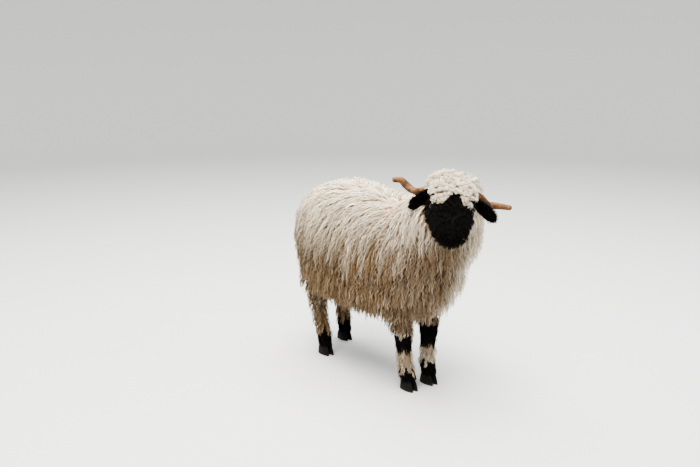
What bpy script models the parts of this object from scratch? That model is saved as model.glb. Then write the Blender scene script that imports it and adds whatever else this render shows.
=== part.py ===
"""A Valais Blacknose ewe, life size, standing with her head turned to her right.

Metres, +Z up. She faces -Y, her left side is +X, and the origin is on the floor
under the middle of the whole animal. Trunk, neck, legs and head are lofts whose
stations hold the bare size; the coat is added to them as a depth.
"""

import math
import random
from collections import namedtuple

import bmesh
import bpy
from mathutils import Euler, Matrix, Vector
from mathutils.bvhtree import BVHTree

GAP = 0.0003
DOWN = Vector((0, 0, -1))
X_AXIS = Vector((1, 0, 0))
Y_AXIS = Vector((0, 1, 0))
Z_AXIS = Vector((0, 0, 1))

# Trunk: distance back, middle height, half width, half height, squareness.
TRUNK = (
    (-0.435, 0.600, 0.030, 0.045, 2.0),
    (-0.415, 0.596, 0.082, 0.092, 2.0),
    (-0.355, 0.576, 0.124, 0.144, 2.1),
    (-0.250, 0.546, 0.142, 0.170, 2.2),
    (-0.140, 0.543, 0.150, 0.182, 2.3),
    (0.000, 0.552, 0.165, 0.195, 2.4),
    (0.120, 0.561, 0.170, 0.197, 2.4),
    (0.240, 0.570, 0.162, 0.188, 2.4),
    (0.335, 0.575, 0.134, 0.154, 2.3),
    (0.400, 0.586, 0.096, 0.114, 2.2),
    (0.435, 0.595, 0.048, 0.062, 2.0),
)
TRUNK_RINGS, TRUNK_SIDES = 18, 20

# Neck: centre, half width and half height across its line.
NECK = (
    (0.000, -0.150, 0.560, 0.100, 0.118),
    (0.006, -0.270, 0.618, 0.114, 0.122),
    (0.016, -0.350, 0.672, 0.121, 0.112),
    (0.020, -0.430, 0.738, 0.122, 0.092),
    (0.008, -0.478, 0.785, 0.082, 0.064),
)
NECK_LINE = Vector((-0.01, -0.33, 0.225)).normalized()
NECK_RINGS, NECK_SIDES = 9, 16
# Where the neck parts from the trunk: a point and a direction towards the head.
NECK_CUT = (Vector((0, -0.300, 0.640)), Vector((0, -0.86, 0.51)).normalized())

# Coat depth at each distance back, and how much thinner it is along the spine.
COAT = (
    (-0.560, 0.044),
    (-0.470, 0.056),
    (-0.380, 0.066),
    (-0.200, 0.074),
    (0.100, 0.078),
    (0.300, 0.074),
    (0.400, 0.064),
    (0.480, 0.048),
)
SPINE_THINNING = 0.28

# Legs: height, distance back from the sole, half width, half depth, wool depth.
FORE_LEG = (
    (0.450, 0.042, 0.048, 0.066, 0.008),
    (0.390, 0.033, 0.045, 0.058, 0.016),
    (0.310, 0.015, 0.034, 0.042, 0.024),
    (0.262, 0.004, 0.029, 0.034, 0.010),
    (0.225, 0.000, 0.029, 0.033, 0.004),
    (0.185, 0.004, 0.022, 0.025, 0.006),
    (0.145, 0.006, 0.019, 0.022, 0.014),
    (0.112, 0.006, 0.020, 0.024, 0.013),
    (0.090, 0.004, 0.025, 0.029, 0.004),
    (0.062, -0.006, 0.023, 0.026, 0.003),
    (0.044, -0.012, 0.028, 0.033, 0.001),
)
HIND_LEG = (
    (0.450, -0.014, 0.058, 0.092, 0.008),
    (0.390, 0.000, 0.050, 0.074, 0.020),
    (0.325, 0.036, 0.034, 0.047, 0.028),
    (0.272, 0.056, 0.027, 0.038, 0.020),
    (0.225, 0.046, 0.023, 0.028, 0.018),
    (0.170, 0.028, 0.019, 0.022, 0.020),
    (0.125, 0.014, 0.019, 0.021, 0.015),
    (0.092, 0.006, 0.024, 0.028, 0.004),
    (0.062, -0.004, 0.022, 0.024, 0.003),
    (0.044, -0.010, 0.027, 0.031, 0.001),
)
LEG_SIDES, LEG_RINGS = 10, 14
HIP_X = 0.085
FORE_BODY_Y, HIND_BODY_Y = -0.255, 0.300
LEAN_HEIGHT, LEAN_POWER, LEAN_SHARE = 0.45, 1.2, 0.8

# The soles, as sideways and back places.
FEET = {
    "leg_front_right": (-0.052, -0.288),
    "leg_front_left": (0.064, -0.276),
    "leg_hind_right": (-0.088, 0.277),
    "leg_hind_left": (0.104, 0.404),
}
# Claws: share of their height, heel and toe as distances back from the sole.
CLAW = ((0.0, 0.030, -0.052), (0.55, 0.027, -0.045), (1.0, 0.022, -0.034))
CLAW_WIDTH, CLAW_GAP, CLAW_TOP, CLAW_TAPER = 0.025, 0.004, 0.0437, 0.12

# Tail: height, distance back, half width, half depth.
TAIL = (
    (0.700, 0.420, 0.022, 0.020),
    (0.680, 0.462, 0.036, 0.030),
    (0.610, 0.492, 0.046, 0.034),
    (0.520, 0.500, 0.046, 0.033),
    (0.430, 0.497, 0.036, 0.027),
    (0.375, 0.494, 0.014, 0.012),
)
TAIL_RINGS, TAIL_SIDES, TAIL_CORE = 9, 10, 0.62

# Head, in its own frame: nose along -Y, crown towards +Z, her left towards +X.
HEAD_AT = Vector((-0.0165, -0.502, 0.866))
HEAD_TURN = Euler((math.radians(24), math.radians(10), math.radians(-40)), "YXZ")
# Distance towards the nose, middle height, half width, half height, squareness.
SKULL = (
    (-0.050, -0.030, 0.030, 0.030, 2.0),
    (-0.035, -0.032, 0.060, 0.056, 2.0),
    (0.010, -0.036, 0.074, 0.072, 2.1),
    (0.060, -0.042, 0.079, 0.078, 2.2),
    (0.110, -0.046, 0.077, 0.074, 2.3),
    (0.155, -0.048, 0.070, 0.062, 2.4),
    (0.190, -0.049, 0.061, 0.052, 2.4),
    (0.222, -0.048, 0.053, 0.045, 2.4),
    (0.242, -0.048, 0.043, 0.037, 2.3),
    (0.253, -0.048, 0.024, 0.020, 2.0),
)
SKULL_RINGS, SKULL_SIDES = 15, 16

# Woolly cap over the crown, in the head's frame: middle and half sizes.
CAP_AT, CAP_SIZE = Vector((0.0, -0.026, 0.006)), Vector((0.111, 0.100, 0.070))

# Eyes, in the head's frame; the second is the same place mirrored.
EYE_AT, EYE_RADIUS = Vector((0.0705, -0.098, -0.022)), 0.0140
EYE_FACING = Vector((0.92, -0.36, 0.14)).normalized()
LID_RADIUS, LID_THICK, LID_OPEN, LID_LIFT, LID_STEPS = 0.0150, 0.0036, 0.55, 0.35, 14

# Nostrils, lips and the line of the mouth, in the head's frame.
NOSTRIL_AT, NOSTRIL_SIZE = Vector((0.021, -0.246, -0.038)), Vector((0.0115, 0.0120, 0.0042))
NOSTRIL_TILT = 35
LIP_AT, LIP_SIZE = Vector((0.017, -0.236, -0.063)), Vector((0.020, 0.020, 0.013))
CHIN_AT, CHIN_SIZE = Vector((0.0, -0.222, -0.082)), Vector((0.026, 0.024, 0.012))
MOUTH_HEIGHT, MOUTH_BACK, MOUTH_DEPTH, MOUTH_WIDTH = -0.075, 0.180, 0.006, 0.0022
# Where it ends short of the nose, how far its cutter stands out, and its slope.
MOUTH_END, MOUTH_REACH, MOUTH_SLOPE, MOUTH_STEPS = 0.008, 0.02, 0.05, 7

# Ears: roots and tips in the head's frame; her right one hangs lower.
EARS = {
    "ear_right": (Vector((-0.070, -0.028, 0.002)), Vector((-0.152, -0.045, -0.092))),
    "ear_left": (Vector((0.074, -0.028, -0.016)), Vector((0.193, -0.024, -0.107))),
}
EAR_FACE = Vector((0.0, -1.0, -0.25))
EAR_THICK, EAR_DROOP = 0.0065, 0.008
# Share of the length, half width, depth of the cup.
EAR = (
    (0.00, 0.012, 0.006),
    (0.18, 0.017, 0.009),
    (0.40, 0.024, 0.011),
    (0.65, 0.028, 0.009),
    (0.85, 0.024, 0.006),
    (0.96, 0.014, 0.003),
    (1.00, 0.006, 0.001),
)
EAR_RINGS, EAR_POINTS = 11, 6

# Horns: places their middle lines pass, in the head's frame.
HORNS = {
    "horn_right": (
        (-0.055, 0.002, -0.012),
        (-0.100, 0.010, -0.036),
        (-0.140, 0.030, -0.054),
        (-0.172, 0.052, -0.048),
        (-0.198, 0.058, -0.032),
        (-0.230, 0.050, -0.032),
    ),
    "horn_left": (
        (0.055, 0.002, -0.008),
        (0.104, 0.010, -0.026),
        (0.142, 0.030, -0.058),
        (0.172, 0.052, -0.080),
        (0.208, 0.058, -0.080),
        (0.250, 0.050, -0.074),
    ),
}
# How fast they taper, how often they turn, where the turn starts and how flat the root is.
HORN_ROOT, HORN_TIP, HORN_TAPER = 0.0260, 0.0100, 0.8
HORN_TURNS, HORN_START, HORN_FLAT = 0.85, -0.17, 0.52
HORN_RINGS, HORN_SIDES = 17, 8

# How much of the coat's depth the solid core takes; locks and clumps make up the rest.
CORE_SHARE = 0.5
CAP_DEPTH = 0.021
SEED = 7

# Locks: spacing of roots, length, half width, half thickness, height of the tip over
# the core, depth of the root in it, sections, sides, and each section's share of width.
Style = namedtuple("Style", "spacing length wide thick lift sunk sides shape")
LONG = (0.55, 1.0, 0.80, 0.42)
ROUND = (0.65, 1.0, 0.88, 0.55)
FLEECE = Style(0.101, 0.190, 0.052, 0.015, 0.036, 0.026, 4, LONG)
TAIL_WOOL = Style(0.058, 0.130, 0.026, 0.008, 0.014, 0.010, 4, LONG)
LEG_WOOL = Style(0.047, 0.072, 0.0200, 0.007, 0.0095, 0.008, 4, LONG)
CROWN_WOOL = Style(0.052, 0.072, 0.028, 0.016, 0.019, 0.014, 5, ROUND)
# Sideways wave of a lock, as a share of its half width, its turn at each section, how soon
# a lock reaches its height, how much they differ in size and in length.
WAVE, WAVE_TURN, RISE = 0.28, 1.9, 1.9
SIZES, LENGTHS = (0.88, 1.12), (0.85, 1.12)
# Places tried for the roots of each kind of lock.
ROOT_TRIES = 6000
# Below this upward part of its normal the skin faces down and locks hang free.
HANG_LIMIT, ROOT_LIMIT = -0.25, -0.85
HANG_DRIFT = 0.3
# The fleece's roots end at this distance towards the head.
FLEECE_FRONT = -0.50
# No lock of the fleece hangs below the hem.
HEM, HEM_EASE = 0.270, 0.020
# On legs and tail, roots are only where the skin faces up or down less than this.
STEEPEST = 0.8
# The crown's curls lie away from a point behind its middle, and this much more out than down.
CROWN_PART, CROWN_SPREAD, CROWN_EDGE = Vector((0, 0.02, 0)), 8, -0.1
# Stretches of each leg, as heights, that carry locks.
LEG_WOOL_SPANS = {"front": ((0.125, 0.175), (0.265, 0.330)), "hind": ((0.125, 0.330),)}

COLOURS = {
    "fleece": ((0.72, 0.64, 0.50), 0.95),
    "black_wool": ((0.015, 0.014, 0.016), 0.90),
    "horn": ((0.45, 0.28, 0.14), 0.55),
    "eye": ((0.10, 0.06, 0.02), 0.10),
    "hoof": ((0.03, 0.027, 0.025), 0.60),
}


def material(name):
    """The finish called name, made once."""
    found = bpy.data.materials.get(name)
    if found:
        return found
    colour, roughness = COLOURS[name]
    found = bpy.data.materials.new(name)
    found.use_nodes = True
    shader = found.node_tree.nodes["Principled BSDF"]
    shader.inputs["Base Color"].default_value = (*colour, 1)
    shader.inputs["Roughness"].default_value = roughness
    return found


def blend_rows(rows, key):
    """The row at a place in a table whose first column rises or falls, eased between rows."""
    steps = [(row[0] - rows[0][0]) / (rows[-1][0] - rows[0][0]) for row in rows]
    share = min(1.0, max(0.0, (key - rows[0][0]) / (rows[-1][0] - rows[0][0])))
    last = max(i for i in range(len(rows) - 1) if steps[i] <= share)
    t = (share - steps[last]) / (steps[last + 1] - steps[last])
    before, after = rows[max(last - 1, 0)], rows[min(last + 2, len(rows) - 1)]
    a, b = rows[last], rows[last + 1]
    mixed = []
    for p0, p1, p2, p3 in zip(before, a, b, after):
        tangent_in, tangent_out = (p2 - p0) / 2, (p3 - p1) / 2
        value = (
            (2 * t**3 - 3 * t**2 + 1) * p1
            + (t**3 - 2 * t**2 + t) * tangent_in
            + (3 * t**2 - 2 * t**3) * p2
            + (t**3 - t**2) * tangent_out
        )
        mixed.append(min(max(p1, p2), max(min(p1, p2), value)))
    return mixed


def coat_depth(place, facing=None):
    """How deep the coat is over a place, thinner where the skin faces up."""
    depth = blend_rows(COAT, place.y)[1]
    if facing is not None:
        depth *= 1 - SPINE_THINNING * max(0.0, facing.z)
    return depth


def oval(centre, side, up, half_width, half_height, squareness, sides):
    """The points of one closed section."""
    power = 2 / squareness
    points = []
    for i in range(sides):
        angle = 2 * math.pi * (i + 0.5) / sides
        c, s = math.cos(angle), math.sin(angle)
        across = math.copysign(abs(c) ** power, c) * half_width
        along = math.copysign(abs(s) ** power, s) * half_height
        points.append(centre + side * across + up * along)
    return points


def middle_of(points):
    """The mean of some points."""
    return sum(points, Vector()) / len(points)


def loft(name, rings, finish, grow=0.0):
    """A closed solid through sections that have the same number of points.

    Its two ends are pushed out by grow, as its sections already are.
    """
    rings = [list(ring) for ring in rings]
    if grow:
        for end, beside in ((0, 1), (-1, -2)):
            push = (middle_of(rings[end]) - middle_of(rings[beside])).normalized() * grow
            rings[end] = [p + push for p in rings[end]]
    mesh = bmesh.new()
    verts = [[mesh.verts.new(p) for p in ring] for ring in rings]
    for ring, following in zip(verts, verts[1:]):
        for i, vert in enumerate(ring):
            after = (i + 1) % len(ring)
            mesh.faces.new((vert, ring[after], following[after]))
            mesh.faces.new((vert, following[after], following[i]))
    mesh.faces.new(verts[0])
    mesh.faces.new(verts[-1])
    bmesh.ops.recalc_face_normals(mesh, faces=mesh.faces)
    return add_solid(name, mesh, finish)


def add_solid(name, mesh, finish):
    """Makes an object of a bmesh, in the animal's collection."""
    data = bpy.data.meshes.new(name)
    bmesh.ops.triangulate(mesh, faces=mesh.faces)
    mesh.to_mesh(data)
    mesh.free()
    data.materials.append(material(finish))
    thing = bpy.data.objects.new(name, data)
    ANIMAL.objects.link(thing)
    return thing


def spaced(low, high, count):
    """Even steps between two values."""
    return [low + (high - low) * i / (count - 1) for i in range(count)]


def trunk(name, coat_share):
    """The trunk with a share of its coat on it."""
    rings = []
    for y in spaced(TRUNK[0][0], TRUNK[-1][0], TRUNK_RINGS):
        _, z, half_width, half_height, squareness = blend_rows(TRUNK, y)
        depth = coat_depth(Vector((0, y, z))) * coat_share
        ends = (y - TRUNK[0][0]) / (TRUNK[-1][0] - TRUNK[0][0]) * 2 - 1
        centre = Vector((0, y + ends**5 * depth, z - depth * SPINE_THINNING / 2))
        around = depth * math.sqrt(1 - ends**8)
        top = half_height + around * (1 - SPINE_THINNING / 2)
        rings.append(oval(centre, X_AXIS, Z_AXIS, half_width + around, top, squareness, TRUNK_SIDES))
    return loft(name, rings, "fleece")


def neck(name, coat_share):
    """The neck with a share of its coat on it."""
    side = NECK_LINE.cross(Z_AXIS).normalized()
    up = side.cross(NECK_LINE)
    rows = [(i, *row) for i, row in enumerate(NECK)]
    rings = []
    for i in spaced(0, len(NECK) - 1, NECK_RINGS):
        _, x, y, z, half_width, half_height = blend_rows(rows, i)
        depth = coat_depth(Vector((x, y, z))) * coat_share
        centre = Vector((x, y, z))
        rings.append(oval(centre, side, up, half_width + depth, half_height + depth, 2.1, NECK_SIDES))
    return loft(name, rings, "fleece")


def leg_line(name, z, back):
    """The middle of a leg at a height: it leans in from the hip to the sole."""
    foot_x, foot_y = FEET[name]
    hip = math.copysign(HIP_X, foot_x)
    lean = min(1.0, z / LEAN_HEIGHT) ** LEAN_POWER
    body_y = FORE_BODY_Y if "front" in name else HIND_BODY_Y
    slide = (body_y - foot_y) * lean * LEAN_SHARE
    return Vector((foot_x + (hip - foot_x) * lean, foot_y + back + slide, z))


def leg(name, coat_share, grow=0.0, node=None):
    """One leg from inside the trunk down to the hoof's top edge."""
    rows = FORE_LEG if "front" in name else HIND_LEG
    rings = []
    for z in spaced(rows[0][0], rows[-1][0], LEG_RINGS):
        _, back, half_width, half_depth, wool = blend_rows(rows, z)
        thick = wool * coat_share + grow
        centre = leg_line(name, z, back)
        rings.append(
            oval(centre, X_AXIS, Y_AXIS, half_width + thick, half_depth + thick, 2.1, LEG_SIDES)
        )
    return loft(node or name, rings, "fleece", grow)


def claws(leg_name):
    """The two claws of a foot, flat on the floor."""
    foot_x, foot_y = FEET[leg_name]
    made = []
    for label, sign in (("outer", math.copysign(1, foot_x)), ("inner", -math.copysign(1, foot_x))):
        rings = []
        for share, back, front in CLAW:
            z = CLAW_TOP * share
            middle = foot_y + (back + front) / 2
            inward = CLAW_GAP / 2 + CLAW_WIDTH / 2
            centre = Vector((foot_x + sign * inward, middle, z))
            half_width = CLAW_WIDTH / 2 * (1 - CLAW_TAPER * share)
            rings.append(oval(centre, X_AXIS, Y_AXIS, half_width, (back - front) / 2, 2.3, 12))
        made.append(loft(leg_name.replace("leg", "hoof") + "_" + label, rings, "hoof"))
    return made


def head_frame():
    """From the head's own frame to the animal's."""
    return Matrix.Translation(HEAD_AT) @ HEAD_TURN.to_matrix().to_4x4()


def skull(name, grow=0.0):
    """The head's main form, from the nape to the nose."""
    rings = []
    frame = head_frame()
    for nose in spaced(SKULL[0][0], SKULL[-1][0], SKULL_RINGS):
        _, z, half_width, half_height, squareness = blend_rows(SKULL, nose)
        ring = oval(
            Vector((0, -nose, z)), X_AXIS, Z_AXIS,
            half_width + grow, half_height + grow, squareness, SKULL_SIDES,
        )
        rings.append([frame @ p for p in ring])
    return loft(name, rings, "black_wool", grow)


def tail(name, coat_share, grow=0.0):
    """The tail, from inside the rump to its hanging end."""
    rings = []
    rows = [(i, *row) for i, row in enumerate(TAIL)]
    places = [blend_rows(rows, i)[1:] for i in spaced(0, len(TAIL) - 1, TAIL_RINGS)]
    middles = [Vector((0, y, z)) for z, y, _, _ in places]
    for i, (_, _, half_width, half_depth) in enumerate(places):
        along = (middles[min(i + 1, len(middles) - 1)] - middles[max(i - 1, 0)]).normalized()
        share = coat_share if i else 1.0
        rings.append(
            oval(
                middles[i], X_AXIS, X_AXIS.cross(along),
                half_width * share + grow, half_depth * share + grow, 2.0, TAIL_SIDES,
            )
        )
    return loft(name, rings, "fleece", grow)


def blob(name, middle, size, frame, finish, sides=10, rings=6, squareness=2.0):
    """An ellipsoid at a place in a frame."""
    made = []
    for i in range(rings):
        angle = math.pi * (i + 0.5) / rings
        centre = middle - Y_AXIS * size.y * math.cos(angle)
        across = math.sin(angle)
        ring = oval(centre, X_AXIS, Z_AXIS, size.x * across, size.z * across, squareness, sides)
        made.append([frame @ p for p in ring])
    return loft(name, made, finish)


def mirrored(place, sign):
    """A place on her left, or the same one on her right."""
    return Vector((place.x * sign, place.y, place.z))


def skull_edge(nose, height, inset):
    """How far to the side the skull's surface is, at a distance towards the nose and a height."""
    _, z, half_width, half_height, squareness = blend_rows(SKULL, nose)
    rise = min(1.0, abs(height - z) / half_height)
    return max(0.0, half_width * (1 - rise**squareness) ** (1 / squareness) - inset)


def mouth_line():
    """A thin ribbon round the muzzle that cuts the line of the mouth."""
    frame = head_frame()
    noses = spaced(MOUTH_BACK, SKULL[-1][0] - MOUTH_END, MOUTH_STEPS)
    outline = [(1, nose) for nose in noses] + [(-1, nose) for nose in reversed(noses)]
    rings = []
    for sign, nose in outline:
        deep = skull_edge(nose, MOUTH_HEIGHT, MOUTH_DEPTH) * sign
        wide = (skull_edge(nose, MOUTH_HEIGHT, 0.0) + MOUTH_REACH) * sign
        height = MOUTH_HEIGHT - (SKULL[-1][0] - nose) * MOUTH_SLOPE
        back = MOUTH_DEPTH if nose == noses[-1] else 0.0
        rings.append(
            [
                frame @ Vector((deep, -nose + back, height - MOUTH_WIDTH / 2)),
                frame @ Vector((wide, -nose - MOUTH_REACH, height - MOUTH_WIDTH)),
                frame @ Vector((wide, -nose - MOUTH_REACH, height + MOUTH_WIDTH)),
                frame @ Vector((deep, -nose + back, height + MOUTH_WIDTH / 2)),
            ]
        )
    return loft("mouth_line", rings, "black_wool")


def lid_ring(sign, grow=0.0):
    """The rim of lids round an eye."""
    frame = head_frame()
    middle = mirrored(EYE_AT, sign)
    out = mirrored(EYE_FACING, sign)
    along = out.cross(Z_AXIS).normalized()
    up = along.cross(out)
    rings = []
    for i in range(LID_STEPS):
        turn = 2 * math.pi * i / LID_STEPS
        way = along * math.cos(turn) + up * math.sin(turn) * LID_OPEN
        centre = middle + out * EYE_RADIUS * LID_LIFT + way * LID_RADIUS
        radial = way.normalized()
        ring = oval(centre, radial, out, LID_THICK + grow, LID_THICK + grow, 2.0, 5)
        rings.append([frame @ p for p in ring])
    mesh = bmesh.new()
    verts = [[mesh.verts.new(p) for p in ring] for ring in rings]
    for i, ring in enumerate(verts):
        following = verts[(i + 1) % LID_STEPS]
        for j, vert in enumerate(ring):
            after = (j + 1) % len(ring)
            mesh.faces.new((vert, ring[after], following[after], following[j]))
    bmesh.ops.recalc_face_normals(mesh, faces=mesh.faces)
    return add_solid("lids", mesh, "black_wool")


def eye(name, sign, grow=0.0):
    """One eyeball."""
    size = Vector((1, 1, 1)) * (EYE_RADIUS + grow)
    return blob(name, mirrored(EYE_AT, sign), size, head_frame(), "eye", 12, 7)


def swollen(outline, grow):
    """A flat outline, given anticlockwise, with each corner moved out by grow."""
    moved = []
    for i, here in enumerate(outline):
        before = (here - outline[i - 1]).normalized()
        after = (outline[(i + 1) % len(outline)] - here).normalized()
        out = Vector((before.y + after.y, -before.x - after.x))
        moved.append(here + out * grow / max(0.2, 1 + before.dot(after)))
    return moved


def ear(name, node=None, grow=0.0):
    """One ear: a cup that opens forwards and down, on a narrow root."""
    frame = head_frame()
    root, tip = EARS[name]
    way = (tip - root).normalized()
    hollow = (EAR_FACE - way * EAR_FACE.dot(way)).normalized()
    across = way.cross(hollow).normalized()
    rings = []
    for share in spaced(0.0, 1.0, EAR_RINGS):
        _, half_width, cup = blend_rows(EAR, share)
        thick = EAR_THICK * (1 - 0.45 * share)
        outer, inner = [], []
        for side in spaced(-1, 1, EAR_POINTS):
            lift = cup * side**2 - cup
            rim = 1 - 0.5 * side**2
            outer.append(Vector((side * half_width, lift - thick * rim)))
            inner.append(Vector((side * half_width, lift + thick * rim * 0.3)))
        middle = root.lerp(tip, share) + Z_AXIS * EAR_DROOP * 4 * share * (1 - share)
        section = swollen(outer + inner[::-1], grow)
        rings.append([frame @ (middle + across * p.x + hollow * p.y) for p in section])
    return loft(node or name, rings, "black_wool", grow)


def horn(name, node=None, grow=0.0):
    """One horn: a flattened tapering corkscrew that leaves the crown sideways."""
    frame = head_frame()
    rows = [(i, *place) for i, place in enumerate(HORNS[name])]
    middles = [Vector(blend_rows(rows, i)[1:]) for i in spaced(0, len(rows) - 1, HORN_RINGS)]
    sign = math.copysign(1, middles[-1].x)
    rings = []
    for i, middle in enumerate(middles):
        share = i / (HORN_RINGS - 1)
        along = (middles[min(i + 1, HORN_RINGS - 1)] - middles[max(i - 1, 0)]).normalized()
        first = (Z_AXIS - along * along.z).normalized()
        second = along.cross(first)
        turn = sign * 2 * math.pi * (HORN_TURNS * share + HORN_START)
        wide_way = first * math.cos(turn) + second * math.sin(turn)
        flat_way = along.cross(wide_way)
        wide = HORN_ROOT + (HORN_TIP - HORN_ROOT) * share**HORN_TAPER
        flat = wide * (HORN_FLAT + (1 - HORN_FLAT) * share)
        ring = oval(middle, wide_way, flat_way, wide + grow, flat + grow, 2.0, HORN_SIDES)
        rings.append([frame @ p for p in ring])
    return loft(node or name, rings, "horn", grow)


def cap(name, grow=0.0):
    """The core of the woolly cap over the crown and the brow."""
    inset = grow - CAP_DEPTH
    size = CAP_SIZE + Vector((inset, inset, inset))
    return blob(name, CAP_AT, size, head_frame(), "fleece", 16, 9, 2.3)


def combine(thing, others, operation, solver="EXACT"):
    """One Boolean of a solid with a collection of others, applied; the others are then removed."""
    group = bpy.data.collections.new("pieces")
    bpy.context.scene.collection.children.link(group)
    for other in others:
        ANIMAL.objects.unlink(other)
        group.objects.link(other)
        other.hide_render = True
        other.display_type = "WIRE"
    step = thing.modifiers.new("combine", "BOOLEAN")
    step.operand_type = "COLLECTION"
    step.collection = group
    step.operation = operation
    step.solver = solver
    graph = bpy.context.evaluated_depsgraph_get()
    data = bpy.data.meshes.new_from_object(thing.evaluated_get(graph))
    thing.modifiers.clear()
    thing.data = data
    for other in others:
        bpy.data.objects.remove(other)
    bpy.data.collections.remove(group)
    keep_largest(thing)
    return thing


def keep_largest(thing):
    """Keeps only the largest closed surface of a solid."""
    mesh = bmesh.new()
    mesh.from_mesh(thing.data)
    bmesh.ops.triangulate(mesh, faces=mesh.faces)
    left = set(mesh.verts)
    pieces = []
    while left:
        front = [left.pop()]
        piece = set(front)
        while front:
            vert = front.pop()
            for edge in vert.link_edges:
                other = edge.other_vert(vert)
                if other in left:
                    left.discard(other)
                    piece.add(other)
                    front.append(other)
        pieces.append(piece)
    pieces.sort(key=span, reverse=True)
    drop = [vert for piece in pieces[1:] for vert in piece]
    bmesh.ops.delete(mesh, geom=drop, context="VERTS")
    mesh.to_mesh(thing.data)
    mesh.free()


def span(piece):
    """The size of the box round some points."""
    lows = [min(v.co[i] for v in piece) for i in range(3)]
    highs = [max(v.co[i] for v in piece) for i in range(3)]
    return math.dist(lows, highs)


def half_space(name, point, way, size=1.5):
    """A big block beyond a plane that also takes half a gap on the near side."""
    mesh = bmesh.new()
    bmesh.ops.create_cube(mesh, size=size)
    turn = way.to_track_quat("Z", "Y").to_matrix().to_4x4()
    middle = point + way * (size / 2 - GAP / 2)
    bmesh.ops.transform(mesh, matrix=Matrix.Translation(middle) @ turn, verts=mesh.verts)
    return add_solid(name, mesh, "fleece")


def copy_of(thing, name):
    """A copy of a solid under another name."""
    twin = thing.copy()
    twin.data = thing.data.copy()
    twin.name = name
    ANIMAL.objects.link(twin)
    return twin


def roots_on(core, spacing, wanted):
    """Scattered places on a solid, no two nearer than spacing, where wanted(place, facing) holds."""
    chance = random.Random(SEED)
    mesh = bmesh.new()
    mesh.from_mesh(core.data)
    faces = list(mesh.faces)
    areas = [face.calc_area() for face in faces]
    kept = []
    for face in chance.choices(faces, areas, k=ROOT_TRIES):
        a, b = sorted((chance.random(), chance.random()))
        first, second, third = (v.co for v in face.verts)
        place = first * a + second * (b - a) + third * (1 - b)
        if wanted(place, face.normal) and all((place - k[0]).length > spacing for k in kept):
            kept.append((place, face.normal.copy()))
    mesh.free()
    return kept


def lock_path(surface, place, facing, lie, style, length):
    """Middle points of a lock and the ways its flat side faces, from root to tip."""
    steps = len(style.shape)
    path = []
    free = False
    for i in range(steps + 1):
        share = i / steps
        rise = (style.lift + style.sunk) * min(1.0, RISE * share) - style.sunk
        path.append((place + facing * rise, facing.copy()))
        way = lie(place, facing)
        ahead = place + way * length / steps
        free = free or (facing.z < HANG_LIMIT and way.z < 0)
        if free:
            facing = Vector((facing.x, facing.y, 0)).normalized()
            place = place + (DOWN + way * HANG_DRIFT).normalized() * length / steps
        else:
            place, facing = surface.find_nearest(ahead)[:2]
    return path


def lock(mesh, path, style, size, turn, grow):
    """Adds one lock along a path: flat, tapered to a point and gently waved."""
    count = len(style.shape)
    rings = []
    for i, (middle, facing) in enumerate(path[:-1]):
        before = path[max(i - 1, 0)][0]
        along = (path[i + 1][0] - before).normalized()
        side = along.cross(facing).normalized()
        out = side.cross(along)
        wide = style.wide * size * style.shape[i]
        thick = style.thick * size * style.shape[i]
        middle = middle + side * math.sin(i * WAVE_TURN + turn) * WAVE * wide
        if i == 0:
            middle = middle - along * grow
        ring = []
        for k in range(style.sides):
            angle = 2 * math.pi * k / style.sides
            across, up = math.cos(angle) * (wide + grow), math.sin(angle) * (thick + grow)
            ring.append(mesh.verts.new(middle + side * across + out * up))
        rings.append(ring)
    tip = mesh.verts.new(path[-1][0] + along * grow * 3)
    for i in range(count - 1):
        for k in range(style.sides):
            after = (k + 1) % style.sides
            mesh.faces.new((rings[i][k], rings[i][after], rings[i + 1][after]))
            mesh.faces.new((rings[i][k], rings[i + 1][after], rings[i + 1][k]))
    for k in range(style.sides):
        mesh.faces.new((rings[-1][k], rings[-1][(k + 1) % style.sides], tip))
    mesh.faces.new(rings[0][::-1])


def locks_on(core, style, lie, wanted, finish, grow=0.0):
    """Every lock of a core, each a closed solid of its own."""
    surface = BVHTree.FromPolygons(
        [v.co for v in core.data.vertices], [tuple(p.vertices) for p in core.data.polygons]
    )
    chance = random.Random(SEED + 1)
    made = []
    for place, facing in roots_on(core, style.spacing, wanted):
        size = chance.uniform(*SIZES)
        length = style.length * chance.uniform(*LENGTHS)
        if style is FLEECE:
            length = min(length, place.z - HEM + HEM_EASE)
        path = lock_path(surface, place, facing, lie, style, length)
        mesh = bmesh.new()
        lock(mesh, path, style, size, chance.uniform(0, 2 * math.pi), grow)
        bmesh.ops.recalc_face_normals(mesh, faces=mesh.faces)
        made.append(add_solid("lock", mesh, finish))
    return made


def along_skin(way, facing):
    """A direction laid flat on the skin."""
    flat = way - facing * way.dot(facing)
    return flat.normalized() if flat.length > 1e-4 else way


def body_lie(place, facing):
    """The fleece parts along the spine, falls down the sides and back over the rump."""
    top = max(0.0, facing.z)
    back = 0.12 + 0.45 * min(1.0, max(0.0, (place.y + 0.1) / 0.5)) + 0.7 * top**2
    side = math.copysign(0.5 * top, place.x)
    return along_skin(Vector((side, back, -1)), facing)


def down_lie(place, facing):
    """Straight down."""
    return along_skin(DOWN, facing)


def crown_lie(place, facing):
    """Outwards and down from the middle of the crown."""
    frame = head_frame()
    middle = frame @ (CAP_AT + CROWN_PART)
    crown = frame.to_3x3() @ Z_AXIS
    return along_skin((place - middle) * CROWN_SPREAD - crown, facing)


def fleece():
    """Trunk and neck in one with all their locks."""
    core = combine(trunk("torso", CORE_SHARE), [neck("neck_core", CORE_SHARE)], "UNION")

    def wanted(place, facing):
        return facing.z > ROOT_LIMIT and place.y > FLEECE_FRONT

    return combine(core, locks_on(core, FLEECE, body_lie, wanted, "fleece"), "UNION", "MANIFOLD")


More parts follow.
